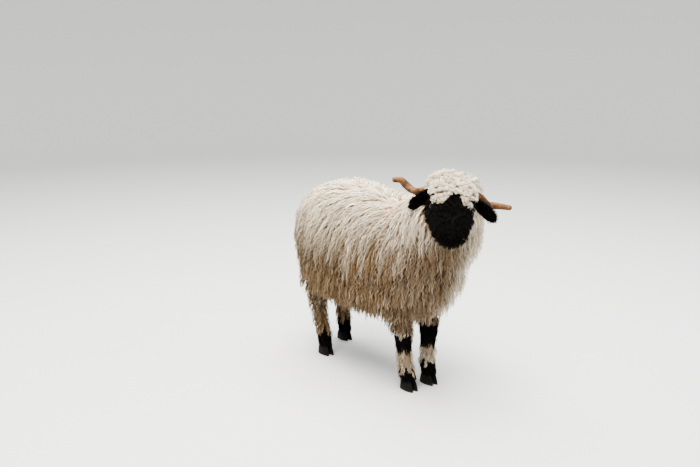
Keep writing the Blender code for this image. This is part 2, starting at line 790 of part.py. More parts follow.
def woolly_leg(name, grow=0.0, node=None):
    """One leg with its locks, which stay clear of the hoof."""
    guide = leg(name, CORE_SHARE, 0.0, "guide")
    stretches = LEG_WOOL_SPANS["front" if "front" in name else "hind"]

    def wanted(place, facing):
        return abs(facing.z) < STEEPEST and any(low < place.z < high for low, high in stretches)

    locks = locks_on(guide, LEG_WOOL, down_lie, wanted, "fleece", grow)
    bpy.data.objects.remove(guide)
    return combine(leg(name, CORE_SHARE, grow, node), locks, "UNION", "MANIFOLD")


def woolly_tail(name, grow=0.0):
    """The tail with its locks."""
    guide = tail("guide", TAIL_CORE)
    root = TAIL[1][1]

    def wanted(place, facing):
        return place.y > root and abs(facing.z) < STEEPEST and place.z > TAIL[-2][0]

    locks = locks_on(guide, TAIL_WOOL, down_lie, wanted, "fleece", grow)
    bpy.data.objects.remove(guide)
    return combine(tail(name, TAIL_CORE, grow), locks, "UNION", "MANIFOLD")


def topknot(name, grow=0.0):
    """The woolly cap with its rounded clumps, before the skull is taken out of it."""
    guide = cap("guide")
    inverse = head_frame().inverted().to_3x3()

    def wanted(place, facing):
        return (inverse @ facing).z > CROWN_EDGE

    clumps = locks_on(guide, CROWN_WOOL, crown_lie, wanted, "fleece", grow)
    bpy.data.objects.remove(guide)
    return combine(cap(name, grow), clumps, "UNION", "MANIFOLD")


def head_solid(name, grow=0.0):
    """Skull, lips, chin and lids in one."""
    base = skull(name, grow)
    frame = head_frame()
    swell = Vector((grow, grow, grow))
    pieces = [blob("chin", CHIN_AT, CHIN_SIZE + swell, frame, "black_wool")]
    for sign in (1, -1):
        pieces.append(blob("lip", mirrored(LIP_AT, sign), LIP_SIZE + swell, frame, "black_wool"))
        pieces.append(lid_ring(sign, grow))
    return combine(base, pieces, "UNION")


def pockets_beside():
    """The room that eyes, ears and horns take."""
    made = [eye("eye_pocket", sign, GAP) for sign in (1, -1)]
    made += [ear(label, label + "_pocket", GAP) for label in EARS]
    return made + [horn(label, label + "_pocket", GAP) for label in HORNS]


def head_details():
    """The head with its mouth, nostrils, and pockets for eyes, ears and horns."""
    head = head_solid("head")
    frame = head_frame()
    cutters = [mouth_line()]
    for sign in (1, -1):
        tilt = Matrix.Rotation(math.radians(NOSTRIL_TILT * sign), 4, "Y")
        spot = frame @ Matrix.Translation(mirrored(NOSTRIL_AT, sign)) @ tilt
        cutters.append(blob("nostril", Vector(), NOSTRIL_SIZE, spot, "black_wool", 8, 5))
    return combine(head, cutters + pockets_beside(), "DIFFERENCE")


def build():
    """Makes every node."""
    head_details()
    pockets = [head_solid("head_pocket", GAP)] + pockets_beside()
    combine(topknot("topknot"), pockets, "DIFFERENCE", "MANIFOLD")
    for label, sign in (("left", 1), ("right", -1)):
        eye("eye_" + label, sign)
        ear("ear_" + label)
        horn("horn_" + label)
    woolly_tail("tail")
    for leg_name in FEET:
        woolly_leg(leg_name)
        claws(leg_name)

    body = fleece()
    point, way = NECK_CUT
    front = combine(
        copy_of(body, "neck"), [half_space("behind", point, -way)], "DIFFERENCE", "MANIFOLD"
    )
    pockets = [head_solid("head_pocket", GAP), topknot("topknot_pocket", GAP)]
    combine(front, pockets + pockets_beside(), "DIFFERENCE", "MANIFOLD")
    pockets = [half_space("ahead", point, way), woolly_tail("tail_pocket", GAP)]
    pockets += [woolly_leg(leg_name, GAP, leg_name + "_pocket") for leg_name in FEET]
    combine(body, pockets, "DIFFERENCE", "MANIFOLD")


def stand_on_origin():
    """Moves every node so the origin is on the floor under the middle of their box."""
    corners = [v.co for thing in ANIMAL.objects for v in thing.data.vertices]
    shift = Vector((0, 0, 0))
    for i in (0, 1):
        shift[i] = -(min(c[i] for c in corners) + max(c[i] for c in corners)) / 2
    for thing in ANIMAL.objects:
        thing.data.transform(Matrix.Translation(shift))


for thing in list(bpy.data.objects):
    bpy.data.objects.remove(thing)
ANIMAL = bpy.data.collections.new("valais_blacknose_sheep")
bpy.context.scene.collection.children.link(ANIMAL)
build()
stand_on_origin()
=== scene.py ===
"""The looks of a life-size valais blacknose ewe: skin, long wavy coat, horns, eyes and hooves.

Places are in the ewe's own frame in metres: she faces -Y, her left is +X and the floor is at z = 0.
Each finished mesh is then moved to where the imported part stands.
"""

import logging
import math
from dataclasses import dataclass, field
from enum import Enum
from typing import Callable, Iterable, Sequence

import bmesh
import bpy
import numpy as np
from mathutils import Euler, Matrix, Vector, noise
from mathutils.bvhtree import BVHTree

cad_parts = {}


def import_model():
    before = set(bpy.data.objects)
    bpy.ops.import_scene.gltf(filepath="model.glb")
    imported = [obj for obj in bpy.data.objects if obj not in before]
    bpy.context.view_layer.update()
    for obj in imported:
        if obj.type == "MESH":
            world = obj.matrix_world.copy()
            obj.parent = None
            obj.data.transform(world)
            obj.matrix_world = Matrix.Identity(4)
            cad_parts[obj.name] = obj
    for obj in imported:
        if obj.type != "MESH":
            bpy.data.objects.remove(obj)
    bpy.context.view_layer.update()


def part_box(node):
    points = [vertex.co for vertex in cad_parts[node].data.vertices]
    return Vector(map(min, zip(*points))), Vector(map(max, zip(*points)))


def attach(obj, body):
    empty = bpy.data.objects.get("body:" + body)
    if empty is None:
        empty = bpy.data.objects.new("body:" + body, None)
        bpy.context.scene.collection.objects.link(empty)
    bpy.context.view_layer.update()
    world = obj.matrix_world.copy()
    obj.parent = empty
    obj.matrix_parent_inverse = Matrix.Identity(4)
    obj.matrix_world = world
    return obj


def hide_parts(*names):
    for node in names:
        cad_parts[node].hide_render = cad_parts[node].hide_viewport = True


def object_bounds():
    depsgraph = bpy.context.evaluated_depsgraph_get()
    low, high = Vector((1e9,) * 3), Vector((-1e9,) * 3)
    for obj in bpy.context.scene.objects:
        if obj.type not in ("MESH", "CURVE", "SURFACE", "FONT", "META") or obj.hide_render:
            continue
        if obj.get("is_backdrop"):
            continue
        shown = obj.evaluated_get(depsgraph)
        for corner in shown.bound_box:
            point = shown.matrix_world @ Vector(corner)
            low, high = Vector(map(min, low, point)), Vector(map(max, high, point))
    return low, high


LOG = logging.getLogger("ewe")
ORIGIN = Vector((0, 0, 0))
DOWN = Vector((0, 0, -1))
X_AXIS = Vector((1, 0, 0))
Y_AXIS = Vector((0, 1, 0))
Z_AXIS = Vector((0, 0, 1))
SEED = 11

Array = np.ndarray
Thing = bpy.types.Object
Material = bpy.types.Material
Node = bpy.types.Node
Socket = bpy.types.NodeSocket
Row = Sequence[float]
Pair = tuple[float, float]
Colour = tuple[float, float, float, float]
Ring = list[Vector]


class Finish(Enum):
    """The kinds of finish that the pieces are built with."""

    FLEECE = "fleece"
    BLACK_WOOL = "black_wool"
    HORN = "horn"
    EYE = "eye"
    HOOF = "hoof"


class Zone(Enum):
    """The parts of the skin, each with its own tile of the coat's unwrap."""

    TRUNK = 0
    NECK = 1
    HEAD = 2
    TAIL = 3
    LEG_FRONT_LEFT = 4
    LEG_FRONT_RIGHT = 5
    LEG_HIND_LEFT = 6
    LEG_HIND_RIGHT = 7
    EAR_LEFT = 8
    EAR_RIGHT = 9


# Trunk sections: place along Y, middle height, half width, half height, squareness.
TRUNK = (
    (-0.435, 0.600, 0.030, 0.045, 2.0),
    (-0.415, 0.596, 0.082, 0.092, 2.0),
    (-0.355, 0.576, 0.124, 0.144, 2.1),
    (-0.250, 0.546, 0.142, 0.170, 2.2),
    (-0.140, 0.543, 0.150, 0.182, 2.3),
    (0.000, 0.552, 0.165, 0.195, 2.4),
    (0.120, 0.561, 0.170, 0.197, 2.4),
    (0.240, 0.570, 0.162, 0.188, 2.4),
    (0.335, 0.575, 0.134, 0.154, 2.3),
    (0.400, 0.586, 0.096, 0.114, 2.2),
    (0.435, 0.595, 0.048, 0.062, 2.0),
)

# Neck sections from chest to nape: middle, half width, half height.
NECK = (
    (0.000, -0.150, 0.560, 0.100, 0.118),
    (0.006, -0.270, 0.618, 0.114, 0.122),
    (0.016, -0.350, 0.672, 0.121, 0.112),
    (0.020, -0.430, 0.738, 0.122, 0.092),
    (0.008, -0.478, 0.785, 0.082, 0.064),
)
NECK_LINE = Vector((-0.01, -0.33, 0.225)).normalized()

# Depth of the coat along Y, and how much thinner it lies on the spine.
COAT = (
    (-0.56, 0.044),
    (-0.47, 0.056),
    (-0.38, 0.066),
    (-0.20, 0.074),
    (0.10, 0.078),
    (0.30, 0.074),
    (0.40, 0.064),
    (0.48, 0.048),
)
SPINE_THINNING = 0.28

# Leg sections: height, place behind the sole, half width, half depth, wool.
FORE_LEG = (
    (0.450, 0.042, 0.048, 0.066, 0.008),
    (0.390, 0.033, 0.045, 0.058, 0.016),
    (0.310, 0.015, 0.034, 0.042, 0.024),
    (0.262, 0.004, 0.029, 0.034, 0.010),
    (0.225, 0.000, 0.029, 0.033, 0.004),
    (0.185, 0.004, 0.022, 0.025, 0.006),
    (0.145, 0.006, 0.019, 0.022, 0.014),
    (0.112, 0.006, 0.020, 0.024, 0.013),
    (0.090, 0.004, 0.025, 0.029, 0.004),
    (0.062, -0.006, 0.023, 0.026, 0.003),
    (0.044, -0.012, 0.028, 0.033, 0.001),
)
HIND_LEG = (
    (0.450, -0.014, 0.058, 0.092, 0.008),
    (0.390, 0.000, 0.050, 0.074, 0.020),
    (0.325, 0.036, 0.034, 0.047, 0.028),
    (0.272, 0.056, 0.027, 0.038, 0.020),
    (0.225, 0.046, 0.023, 0.028, 0.018),
    (0.170, 0.028, 0.019, 0.022, 0.020),
    (0.125, 0.014, 0.019, 0.021, 0.015),
    (0.092, 0.006, 0.024, 0.028, 0.004),
    (0.062, -0.004, 0.022, 0.024, 0.003),
    (0.044, -0.010, 0.027, 0.031, 0.001),
)
HIP_X = 0.085
FORE_BODY_Y = -0.255
HIND_BODY_Y = 0.300
LEAN_HEIGHT = 0.45
LEAN_POWER = 1.2
LEAN_SHARE = 0.8
FEET = {
    Zone.LEG_FRONT_RIGHT: (-0.052, -0.288),
    Zone.LEG_FRONT_LEFT: (0.064, -0.276),
    Zone.LEG_HIND_RIGHT: (-0.088, 0.277),
    Zone.LEG_HIND_LEFT: (0.104, 0.404),
}

# Tail sections: height, place along Y, half width, half depth.
TAIL = (
    (0.700, 0.420, 0.022, 0.020),
    (0.680, 0.462, 0.036, 0.030),
    (0.610, 0.492, 0.046, 0.034),
    (0.520, 0.500, 0.046, 0.033),
    (0.430, 0.497, 0.036, 0.027),
    (0.375, 0.494, 0.014, 0.012),
)

# The head's own frame: the nose points along -Y, the crown along +Z.
HEAD_AT = Vector((-0.0165, -0.502, 0.866))
HEAD_TURN = Euler((math.radians(24), math.radians(10), math.radians(-40)), "YXZ")
HEAD = Matrix.Translation(HEAD_AT) @ HEAD_TURN.to_matrix().to_4x4()
HEAD_INVERSE = HEAD.inverted()

# Skull sections: distance towards the nose, middle height, half width, half height, squareness.
SKULL = (
    (-0.050, -0.030, 0.030, 0.030, 2.0),
    (-0.035, -0.032, 0.060, 0.056, 2.0),
    (0.010, -0.036, 0.074, 0.072, 2.1),
    (0.060, -0.042, 0.078, 0.078, 2.2),
    (0.110, -0.046, 0.074, 0.074, 2.3),
    (0.155, -0.048, 0.063, 0.062, 2.4),
    (0.190, -0.049, 0.054, 0.051, 2.4),
    (0.222, -0.048, 0.048, 0.044, 2.4),
    (0.242, -0.048, 0.040, 0.036, 2.3),
    (0.253, -0.048, 0.022, 0.020, 2.0),
)
EYE_AT = Vector((0.0705, -0.098, -0.022))
EYE_RADIUS = 0.014
CAP_AT = Vector((0, -0.026, 0.006))
CAP_SIZE = Vector((0.111, 0.100, 0.070))
MOUTH_HEIGHT = -0.075
NOSE_END = 0.253

# Ears in the head's frame: root and tip, then share of length, half width and cup depth.
EARS = {
    Zone.EAR_RIGHT: (Vector((-0.070, -0.028, 0.002)), Vector((-0.149, -0.044, -0.088))),
    Zone.EAR_LEFT: (Vector((0.074, -0.028, -0.016)), Vector((0.185, -0.024, -0.100))),
}
EAR_FACE = Vector((0.0, -1.0, -0.25))
EAR_THICK = 0.0065
EAR_DROOP = 0.008
EAR = (
    (0.00, 0.012, 0.006),
    (0.18, 0.017, 0.009),
    (0.40, 0.024, 0.011),
    (0.65, 0.028, 0.009),
    (0.85, 0.024, 0.006),
    (0.96, 0.014, 0.003),
    (1.00, 0.006, 0.001),
)

# Horns in the head's frame: points of the middle line from the crown to the tip.
HORNS = {
    "right": (
        (-0.055, 0.002, -0.012),
        (-0.100, 0.010, -0.036),
        (-0.140, 0.030, -0.054),
        (-0.172, 0.052, -0.048),
        (-0.198, 0.058, -0.032),
        (-0.230, 0.050, -0.032),
    ),
    "left": (
        (0.055, 0.002, -0.008),
        (0.104, 0.010, -0.026),
        (0.142, 0.030, -0.058),
        (0.172, 0.052, -0.080),
        (0.208, 0.058, -0.080),
        (0.250, 0.050, -0.074),
    ),
}
HORN_ROOT = 0.0260
HORN_TIP = 0.0100
HORN_TAPER = 0.8
HORN_TURNS = 0.85
HORN_START = -0.17
HORN_FLAT = 0.52


def ease(value: float) -> float:
    """Smooth step from 0 to 1."""
    t = min(1.0, max(0.0, value))
    return t * t * (3 - 2 * t)


def ease_all(values: Array, low: float, high: float) -> Array:
    """Smooth step of many values, 0 at low and 1 at high.

    Args:
        values: Any shape.
        low: Where the step starts.
        high: Where it ends; it may be lower than low.

    Returns:
        The steps, in the shape of values.
    """
    t = np.clip((values - low) / (high - low), 0, 1)
    return t * t * (3 - 2 * t)


def bell(*values: Array) -> Array:
    """A bell curve, 1 where every value is 0."""
    return np.exp(-sum(value**2 for value in values))


def blend_rows(rows: Sequence[Row], key: float) -> list[float]:
    """The row at a place in a table whose first column rises or falls.

    Args:
        rows: The table.
        key: A value of its first column.

    Returns:
        The row, eased between its neighbours without overshoot.
    """
    whole = rows[-1][0] - rows[0][0]
    steps = [(row[0] - rows[0][0]) / whole for row in rows]
    share = min(1.0, max(0.0, (key - rows[0][0]) / whole))
    last = max(i for i in range(len(rows) - 1) if steps[i] <= share)
    t = (share - steps[last]) / (steps[last + 1] - steps[last])
    before, after = rows[max(last - 1, 0)], rows[min(last + 2, len(rows) - 1)]
    mixed = []
    for p0, p1, p2, p3 in zip(before, rows[last], rows[last + 1], after):
        value = (
            (2 * t**3 - 3 * t**2 + 1) * p1
            + (t**3 - 2 * t**2 + t) * (p2 - p0) / 2
            + (3 * t**2 - 2 * t**3) * p2
            + (t**3 - t**2) * (p3 - p1) / 2
        )
        mixed.append(min(max(p1, p2), max(min(p1, p2), value)))
    return mixed


def spaced(low: float, high: float, count: int) -> list[float]:
    """Even steps between two values, both included."""
    return [low + (high - low) * i / (count - 1) for i in range(count)]


def coat_depth(place: Vector, facing: Vector | None = None) -> float:
    """How deep the coat is over a place, thinner where the skin faces up.

    Args:
        place: A place in the ewe's own frame.
        facing: The way the skin faces there, or None for no thinning.

    Returns:
        The depth in metres.
    """
    depth = blend_rows(COAT, place.y)[1]
    if facing is not None:
        depth *= 1 - SPINE_THINNING * max(0.0, facing.z)
    return depth


def oval(
    centre: Vector, side: Vector, up: Vector, half_width: float, half_height: float,
    squareness: float, sides: int,
) -> Ring:
    """The points of one closed section.

    Args:
        centre: Its middle.
        side: Unit vector of its width.
        up: Unit vector of its height.
        half_width: Half its width.
        half_height: Half its height.
        squareness: 2 is an ellipse, more is squarer.
        sides: How many points.

    Returns:
        The points in order.
    """
    points = []
    for i in range(sides):
        angle = 2 * math.pi * (i + 0.5) / sides
        c, s = math.cos(angle), math.sin(angle)
        across = math.copysign(abs(c) ** (2 / squareness), c) * half_width
        along = math.copysign(abs(s) ** (2 / squareness), s) * half_height
        points.append(centre + side * across + up * along)
    return points


def leg_line(leg: Zone, z: float, back: float) -> Vector:
    """The middle of a leg at a height: it leans in from the hip to the sole.

    Args:
        leg: Which leg.
        z: The height.
        back: How far behind the sole it is.

    Returns:
        The place.
    """
    foot_x, foot_y = FEET[leg]
    lean = min(1.0, z / LEAN_HEIGHT) ** LEAN_POWER
    body_y = FORE_BODY_Y if "FRONT" in leg.name else HIND_BODY_Y
    slide = (body_y - foot_y) * lean * LEAN_SHARE
    hip = math.copysign(HIP_X, foot_x)
    return Vector((foot_x + (hip - foot_x) * lean, foot_y + back + slide, z))


def mirrored(place: Vector, sign: int) -> Vector:
    """A place on her left, or the same one on her right."""
    return Vector((place.x * sign, place.y, place.z))


def to_head(points: Array) -> Array:
    """Points of the ewe's frame in the head's own frame."""
    turn = np.array(HEAD_INVERSE.to_3x3())
    return points @ turn.T + np.array(HEAD_INVERSE.translation)


class Shapes:
    """Mesh tools that every piece shares."""

    shift = Vector((0, 0, 0))

    @classmethod
    def stand_on_part(cls) -> None:
        """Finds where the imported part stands, from one of its hooves."""
        low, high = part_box("hoof_front_right_outer")
        foot_x, foot_y = FEET[Zone.LEG_FRONT_RIGHT]
        own_x = foot_x - Hoof.gap / 2 - Hoof.width / 2
        own = Vector((own_x, foot_y + (Hoof.back + Hoof.front) / 2, 0))
        middle = (low + high) / 2
        cls.shift = Vector((middle.x - own.x, middle.y - own.y, 0))

    @staticmethod
    def loft(mesh: bmesh.types.BMesh, rings: Sequence[Ring], closed: bool = False) -> None:
        """Adds a shell through sections, closed at its ends or joined end to end.

        Args:
            mesh: Where it goes.
            rings: Sections with the same number of points.
            closed: Whether the last section joins the first.
        """
        loops = []
        for ring in rings:
            made = bmesh.ops.create_circle(mesh, segments=len(ring), radius=1.0)["verts"]
            for vert, place in zip(made, ring):
                vert.co = place
            loops.append(list(dict.fromkeys(edge for vert in made for edge in vert.link_edges)))
        pairs = list(zip(loops, loops[1:]))
        if closed:
            pairs.append((loops[-1], loops[0]))
        for first, second in pairs:
            bmesh.ops.bridge_loops(mesh, edges=first + second)
        if not closed:
            bmesh.ops.holes_fill(mesh, edges=loops[0] + loops[-1], sides=len(rings[0]))

    @staticmethod
    def piece(name: str, mesh: bmesh.types.BMesh) -> Thing:
        """Makes an object of a bmesh in the ewe's own frame.

        Args:
            name: The piece's name.
            mesh: The bmesh; it is freed.

        Returns:
            The object.
        """
        bmesh.ops.recalc_face_normals(mesh, faces=mesh.faces)
        data = bpy.data.meshes.new(name)
        mesh.to_mesh(data)
        mesh.free()
        return Shapes.shown(name, data)

    @staticmethod
    def shown(name: str, data: bpy.types.ID) -> Thing:
        """Puts a mesh, a light or a camera into the scene.

        Args:
            name: The object's name.
            data: The mesh, light or camera.

        Returns:
            The object.
        """
        thing = bpy.data.objects.new(name, data)
        bpy.context.scene.collection.objects.link(thing)
        return thing

    @staticmethod
    def applied(thing: Thing) -> Thing:
        """Applies a piece's modifiers.

        Args:
            thing: The piece.

        Returns:
            The piece.
        """
        graph = bpy.context.evaluated_depsgraph_get()
        data = bpy.data.meshes.new_from_object(thing.evaluated_get(graph))
        thing.modifiers.clear()
        old = thing.data
        thing.data = data
        bpy.data.meshes.remove(old)
        return thing

    @classmethod
    def remeshed(cls, thing: Thing, voxel: float, smooth: int) -> Thing:
        """Fuses the shells of a piece into one and smooths it.

        Args:
            thing: The piece.
            voxel: The size of the grid.
            smooth: How often it is smoothed.

        Returns:
            The piece.
        """
        step = thing.modifiers.new("fuse", "REMESH")
        step.mode = "VOXEL"
        step.voxel_size = voxel
        soften = thing.modifiers.new("soften", "SMOOTH")
        soften.factor = 0.5
        soften.iterations = smooth
        return cls.applied(thing)

    @classmethod
    def union(cls, thing: Thing, others: Iterable[Thing]) -> Thing:
        """Joins closed pieces to one surface and removes the others.

        Args:
            thing: The piece.
            others: The closed pieces that it takes in.

        Returns:
            The piece.
        """
        for other in others:
            step = thing.modifiers.new("join", "BOOLEAN")
            step.operation = "UNION"
            step.solver = "MANIFOLD"
            step.object = other
            cls.applied(thing)
            bpy.data.objects.remove(other)
        return thing

    @classmethod
    def finish(
        cls, thing: Thing, slot: Finish, material: Material, nodes: Sequence[str] = (),
    ) -> None:
        """Moves a piece to where the part stands, dresses it and ties it to the part.

        Args:
            thing: The piece, in the ewe's own frame.
            slot: Not used.
            material: Its material.
            nodes: The CAD nodes that it stands for.
        """
        thing.data.transform(Matrix.Translation(cls.shift))
        thing.data.materials.clear()
        thing.data.materials.append(material)
        thing.data.shade_smooth()
        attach(thing, "root")
        if nodes:
            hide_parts(*nodes)
        LOG.info("%s: %d faces", thing.name, len(thing.data.polygons))


@dataclass
class Skin:
    """One closed surface of trunk, neck, legs, tail, head and ears, inside the coat.

    The head is fused on a finer grid, so that its lids, nostrils and mouth are real forms.
    """

    coat_share: float = 0.36
    leg_share: float = 0.35
    tail_share: float = 0.48
    body_voxel: float = 0.0085
    head_voxel: float = 0.0021
    cap_inset: float = 0.030
    lid_width: float = 0.0122
    lid_height: float = 0.0072
    lid_thick: float = 0.0020
    lid_raise: float = 0.0008
    eye_hollow: float = 0.004
    lid_reach: Row = (1.2, 1.9)
    shells: dict[Zone, BVHTree] = field(default_factory=dict)

    # Forms of the face in the head's frame: middle, reach along each axis, how far out.
    FACE = (
        ((0.060, -0.086, 0.010), (0.022, 0.028, 0.012), 0.0060),
        ((0.058, -0.058, -0.086), (0.035, 0.040, 0.035), 0.0070),
        ((0.000, -0.170, 0.008), (0.017, 0.065, 0.030), 0.0050),
        ((0.056, -0.142, -0.040), (0.020, 0.030, 0.020), -0.0050),
        ((0.030, -0.228, -0.060), (0.018, 0.020, 0.016), 0.0035),
        ((0.000, -0.222, -0.088), (0.022, 0.024, 0.012), 0.0040),
        ((0.000, -0.254, -0.064), (0.0024, 0.020, 0.016), -0.0040),
        ((0.011, -0.256, -0.051), (0.0034, 0.008, 0.0034), -0.0070),
        ((0.018, -0.253, -0.043), (0.0036, 0.008, 0.0034), -0.0075),
        ((0.026, -0.246, -0.037), (0.0040, 0.009, 0.0036), -0.0070),
    )

    # Lips and chin on the skull: middle and size of each ball.
    CHIN = (Vector((0, -0.222, -0.082)), Vector((0.026, 0.024, 0.012)))
    LIP = (Vector((0.017, -0.236, -0.063)), Vector((0.020, 0.020, 0.013)))

    # The line of the mouth: slope and the turn at its corner, then half width and depth of the
    # groove, and how far over it the upper lip is, half its width and its height.
    MOUTH_SLOPE = 0.05
    MOUTH_TURN = 0.010
    GROOVE = (0.0026, 0.0055)
    UPPER_LIP = (0.007, 0.005, 0.0022)

    # Where the zones of the fused skin end, and how near their own shells a place has to be.
    EAR_NEAR = 0.003
    HEAD_NEAR = 0.012
    NAPE_NEAR = 0.004
    NAPE_FROM = -0.02
    LIMB_NEAR = 0.008
    LEG_TOP = 0.36
    TAIL_FROM = 0.455
    NECK_TO = -0.36
    NECK_FLOOR = 0.62

    # What the skin's material reads instead of a strand's own values: the low along gives the skin
    # the coat's dark root colour, painted shade between the locks.
    STRAND_VALUES = (("along", 0.20), ("chance", 0.5))
    FLESH = ("torso", "neck", "head", "topknot", "tail", "ear_left", "ear_right")

    def trunk_rings(self) -> list[Ring]:
        """Sections of the trunk.

        Returns:
            The sections from front to back.
        """
        rings = []
        for y in spaced(TRUNK[0][0], TRUNK[-1][0], 26):
            _, z, half_width, half_height, squareness = blend_rows(TRUNK, y)
            depth = coat_depth(Vector((0, y, z))) * self.coat_share
            ends = (y - TRUNK[0][0]) / (TRUNK[-1][0] - TRUNK[0][0]) * 2 - 1
            centre = Vector((0, y + ends**5 * depth, z - depth * SPINE_THINNING / 2))
            around = depth * math.sqrt(1 - ends**8)
            top = half_height + around * (1 - SPINE_THINNING / 2)
            rings.append(oval(centre, X_AXIS, Z_AXIS, half_width + around, top, squareness, 40))
        return rings

    def neck_rings(self) -> list[Ring]:
        """Sections of the neck.

        Returns:
            The sections from chest to nape.
        """
        side = NECK_LINE.cross(Z_AXIS).normalized()
        up = side.cross(NECK_LINE)
        rows = [(i, *row) for i, row in enumerate(NECK)]
        rings = []
        for i in spaced(0, len(NECK) - 1, 12):
            _, x, y, z, half_width, half_height = blend_rows(rows, i)
            centre = Vector((x, y, z))
            depth = coat_depth(centre) * self.coat_share
            rings.append(oval(centre, side, up, half_width + depth, half_height + depth, 2.1, 32))
        return rings

    def leg_rings(self, leg: Zone) -> list[Ring]:
        """Sections of a leg, from inside the trunk to just inside the hoof's top.

        Args:
            leg: Which leg.

        Returns:
            The sections from top to bottom.
        """
        rows = FORE_LEG if "FRONT" in leg.name else HIND_LEG
        rings = []
        for z in spaced(rows[0][0], rows[-1][0], 26):
            _, back, half_width, half_depth, wool = blend_rows(rows, z)
            thick = wool * self.leg_share
            centre = leg_line(leg, z, back)
            wide, deep = half_width + thick, half_depth + thick
            rings.append(oval(centre, X_AXIS, Y_AXIS, wide, deep, 2.1, 24))
        return rings

    def tail_rings(self) -> list[Ring]:
        """Sections of the tail, from inside the rump to its hanging end.

        Returns:
            The sections from top to bottom.
        """
        rows = [(i, *row) for i, row in enumerate(TAIL)]
        places = [blend_rows(rows, i)[1:] for i in spaced(0, len(TAIL) - 1, 14)]
        rings = []
        for i, (z, y, half_width, half_depth) in enumerate(places):
            before, after = places[max(i - 1, 0)], places[min(i + 1, len(places) - 1)]
            along = Vector((0, after[1] - before[1], after[0] - before[0])).normalized()
            share = self.tail_share if i else 1.0
            up = X_AXIS.cross(along)
            wide, deep = half_width * share, half_depth * share
            rings.append(oval(Vector((0, y, z)), X_AXIS, up, wide, deep, 2.0, 20))
        return rings

    def skull_rings(self) -> list[Ring]:
        """Sections of the skull from the nape to the nose.

        Returns:
            The sections from nape to nose.
        """
        rings = []
        for nose in spaced(SKULL[0][0], SKULL[-1][0], 32):
            _, z, *sizes = blend_rows(SKULL, nose)
            ring = oval(Vector((0, -nose, z)), X_AXIS, Z_AXIS, *sizes, 40)
            rings.append([HEAD @ p for p in ring])
        return rings

    def ear_rings(self, ear: Zone) -> list[Ring]:
        """Sections of an ear: a cup that opens forwards and down, on a narrow root.

        Args:
            ear: Which ear.

        Returns:
            The sections from root to tip.
        """
        root, tip = EARS[ear]
        way = (tip - root).normalized()
        hollow = (EAR_FACE - way * EAR_FACE.dot(way)).normalized()
        across = way.cross(hollow).normalized()
        rings = []
        for share in spaced(0.0, 1.0, 22):
            _, half_width, cup = blend_rows(EAR, share)
            thick = EAR_THICK * (1 - 0.45 * share)
            outer, inner = [], []
            for side in spaced(-1, 1, 13):
                lift = cup * side**2 - cup
                rim = 1 - 0.5 * side**2
                outer.append((side * half_width, lift - thick * rim))
                inner.append((side * half_width, lift + thick * rim * 0.3))
            middle = root.lerp(tip, share) + Z_AXIS * EAR_DROOP * 4 * share * (1 - share)
            around = outer + inner[::-1]
            rings.append([HEAD @ (middle + across * a + hollow * b) for a, b in around])
        return rings

    def shell(self, zone: Zone, rings: list[Ring], into: bmesh.types.BMesh) -> None:
        """Adds the shell of a zone to a mesh and keeps a search tree of it.

        Args:
            zone: The zone.
            rings: The sections of its shell.
            into: The mesh that it is added to.
        """
        own = bmesh.new()
        Shapes.loft(own, rings)
        self.shells[zone] = BVHTree.FromBMesh(own)
        own.free()
        Shapes.loft(into, rings)

    def body(self) -> Thing:
        """Trunk, neck, legs and tail fused.

        Returns:
            The fused body.
        """
        mesh = bmesh.new()
        self.shell(Zone.TRUNK, self.trunk_rings(), mesh)
        self.shell(Zone.NECK, self.neck_rings(), mesh)
        self.shell(Zone.TAIL, self.tail_rings(), mesh)
        for leg in FEET:
            self.shell(leg, self.leg_rings(leg), mesh)
        return Shapes.remeshed(Shapes.piece("ewe_skin", mesh), self.body_voxel, 3)

    def head(self) -> Thing:
        """Skull, lips, chin and the crown's base, fused and given the forms of the face.

        Returns:
            The fused head.
        """
        mesh = bmesh.new()
        self.shell(Zone.HEAD, self.skull_rings(), mesh)
        balls = [self.CHIN]
        balls += [(mirrored(self.LIP[0], sign), self.LIP[1]) for sign in (1, -1)]
        balls.append((CAP_AT, CAP_SIZE - Vector((1, 1, 1)) * self.cap_inset))
        for middle, size in balls:
            place = HEAD @ Matrix.Translation(middle) @ Matrix.Diagonal((*size, 1))
            bmesh.ops.create_uvsphere(mesh, u_segments=32, v_segments=20, radius=1.0, matrix=place)
        head = Shapes.remeshed(Shapes.piece("head", mesh), self.head_voxel, 6)
        self.carve(head)
        return head

    def carve(self, head: Thing) -> None:
        """Moves the head's vertices to make brow, cheeks, nostrils, mouth and lids.

        Args:
            head: The fused head; its vertices are moved in place.
        """
        count = len(head.data.vertices)
        places, normals = np.empty(count * 3), np.empty(count * 3)
        head.data.vertices.foreach_get("co", places)
        head.data.vertices.foreach_get("normal", normals)
        turn = np.array(HEAD.to_3x3())
        own = to_head(places.reshape(-1, 3))
        out = normals.reshape(-1, 3) @ turn
        half = own * np.array((np.nan, 1, 1))
        half[:, 0] = np.abs(own[:, 0])
        push = np.zeros(count)
        for middle, reach, height in self.FACE:
            push += height * np.exp(-(((half - middle) / reach) ** 2).sum(1))
        nose = -own[:, 1]
        corner = ease_all(nose, 0.200, 0.168)
        line = MOUTH_HEIGHT - (NOSE_END - nose) * self.MOUTH_SLOPE + self.MOUTH_TURN * corner
        over = own[:, 2] - line
        half_groove, depth = self.GROOVE
        push -= depth * (bell(over / half_groove) * ease_all(nose, 0.165, 0.185))
        rise, half_lip, height = self.UPPER_LIP
        push += height * bell((over - rise) / half_lip) * ease_all(nose, 0.18, 0.21)
        own += out * push[:, None]
        for sign in (1, -1):
            self.drape_lids(own, sign)
        moved = own @ turn.T + np.array(HEAD.translation)
        head.data.vertices.foreach_set("co", moved.ravel())
        head.data.update()

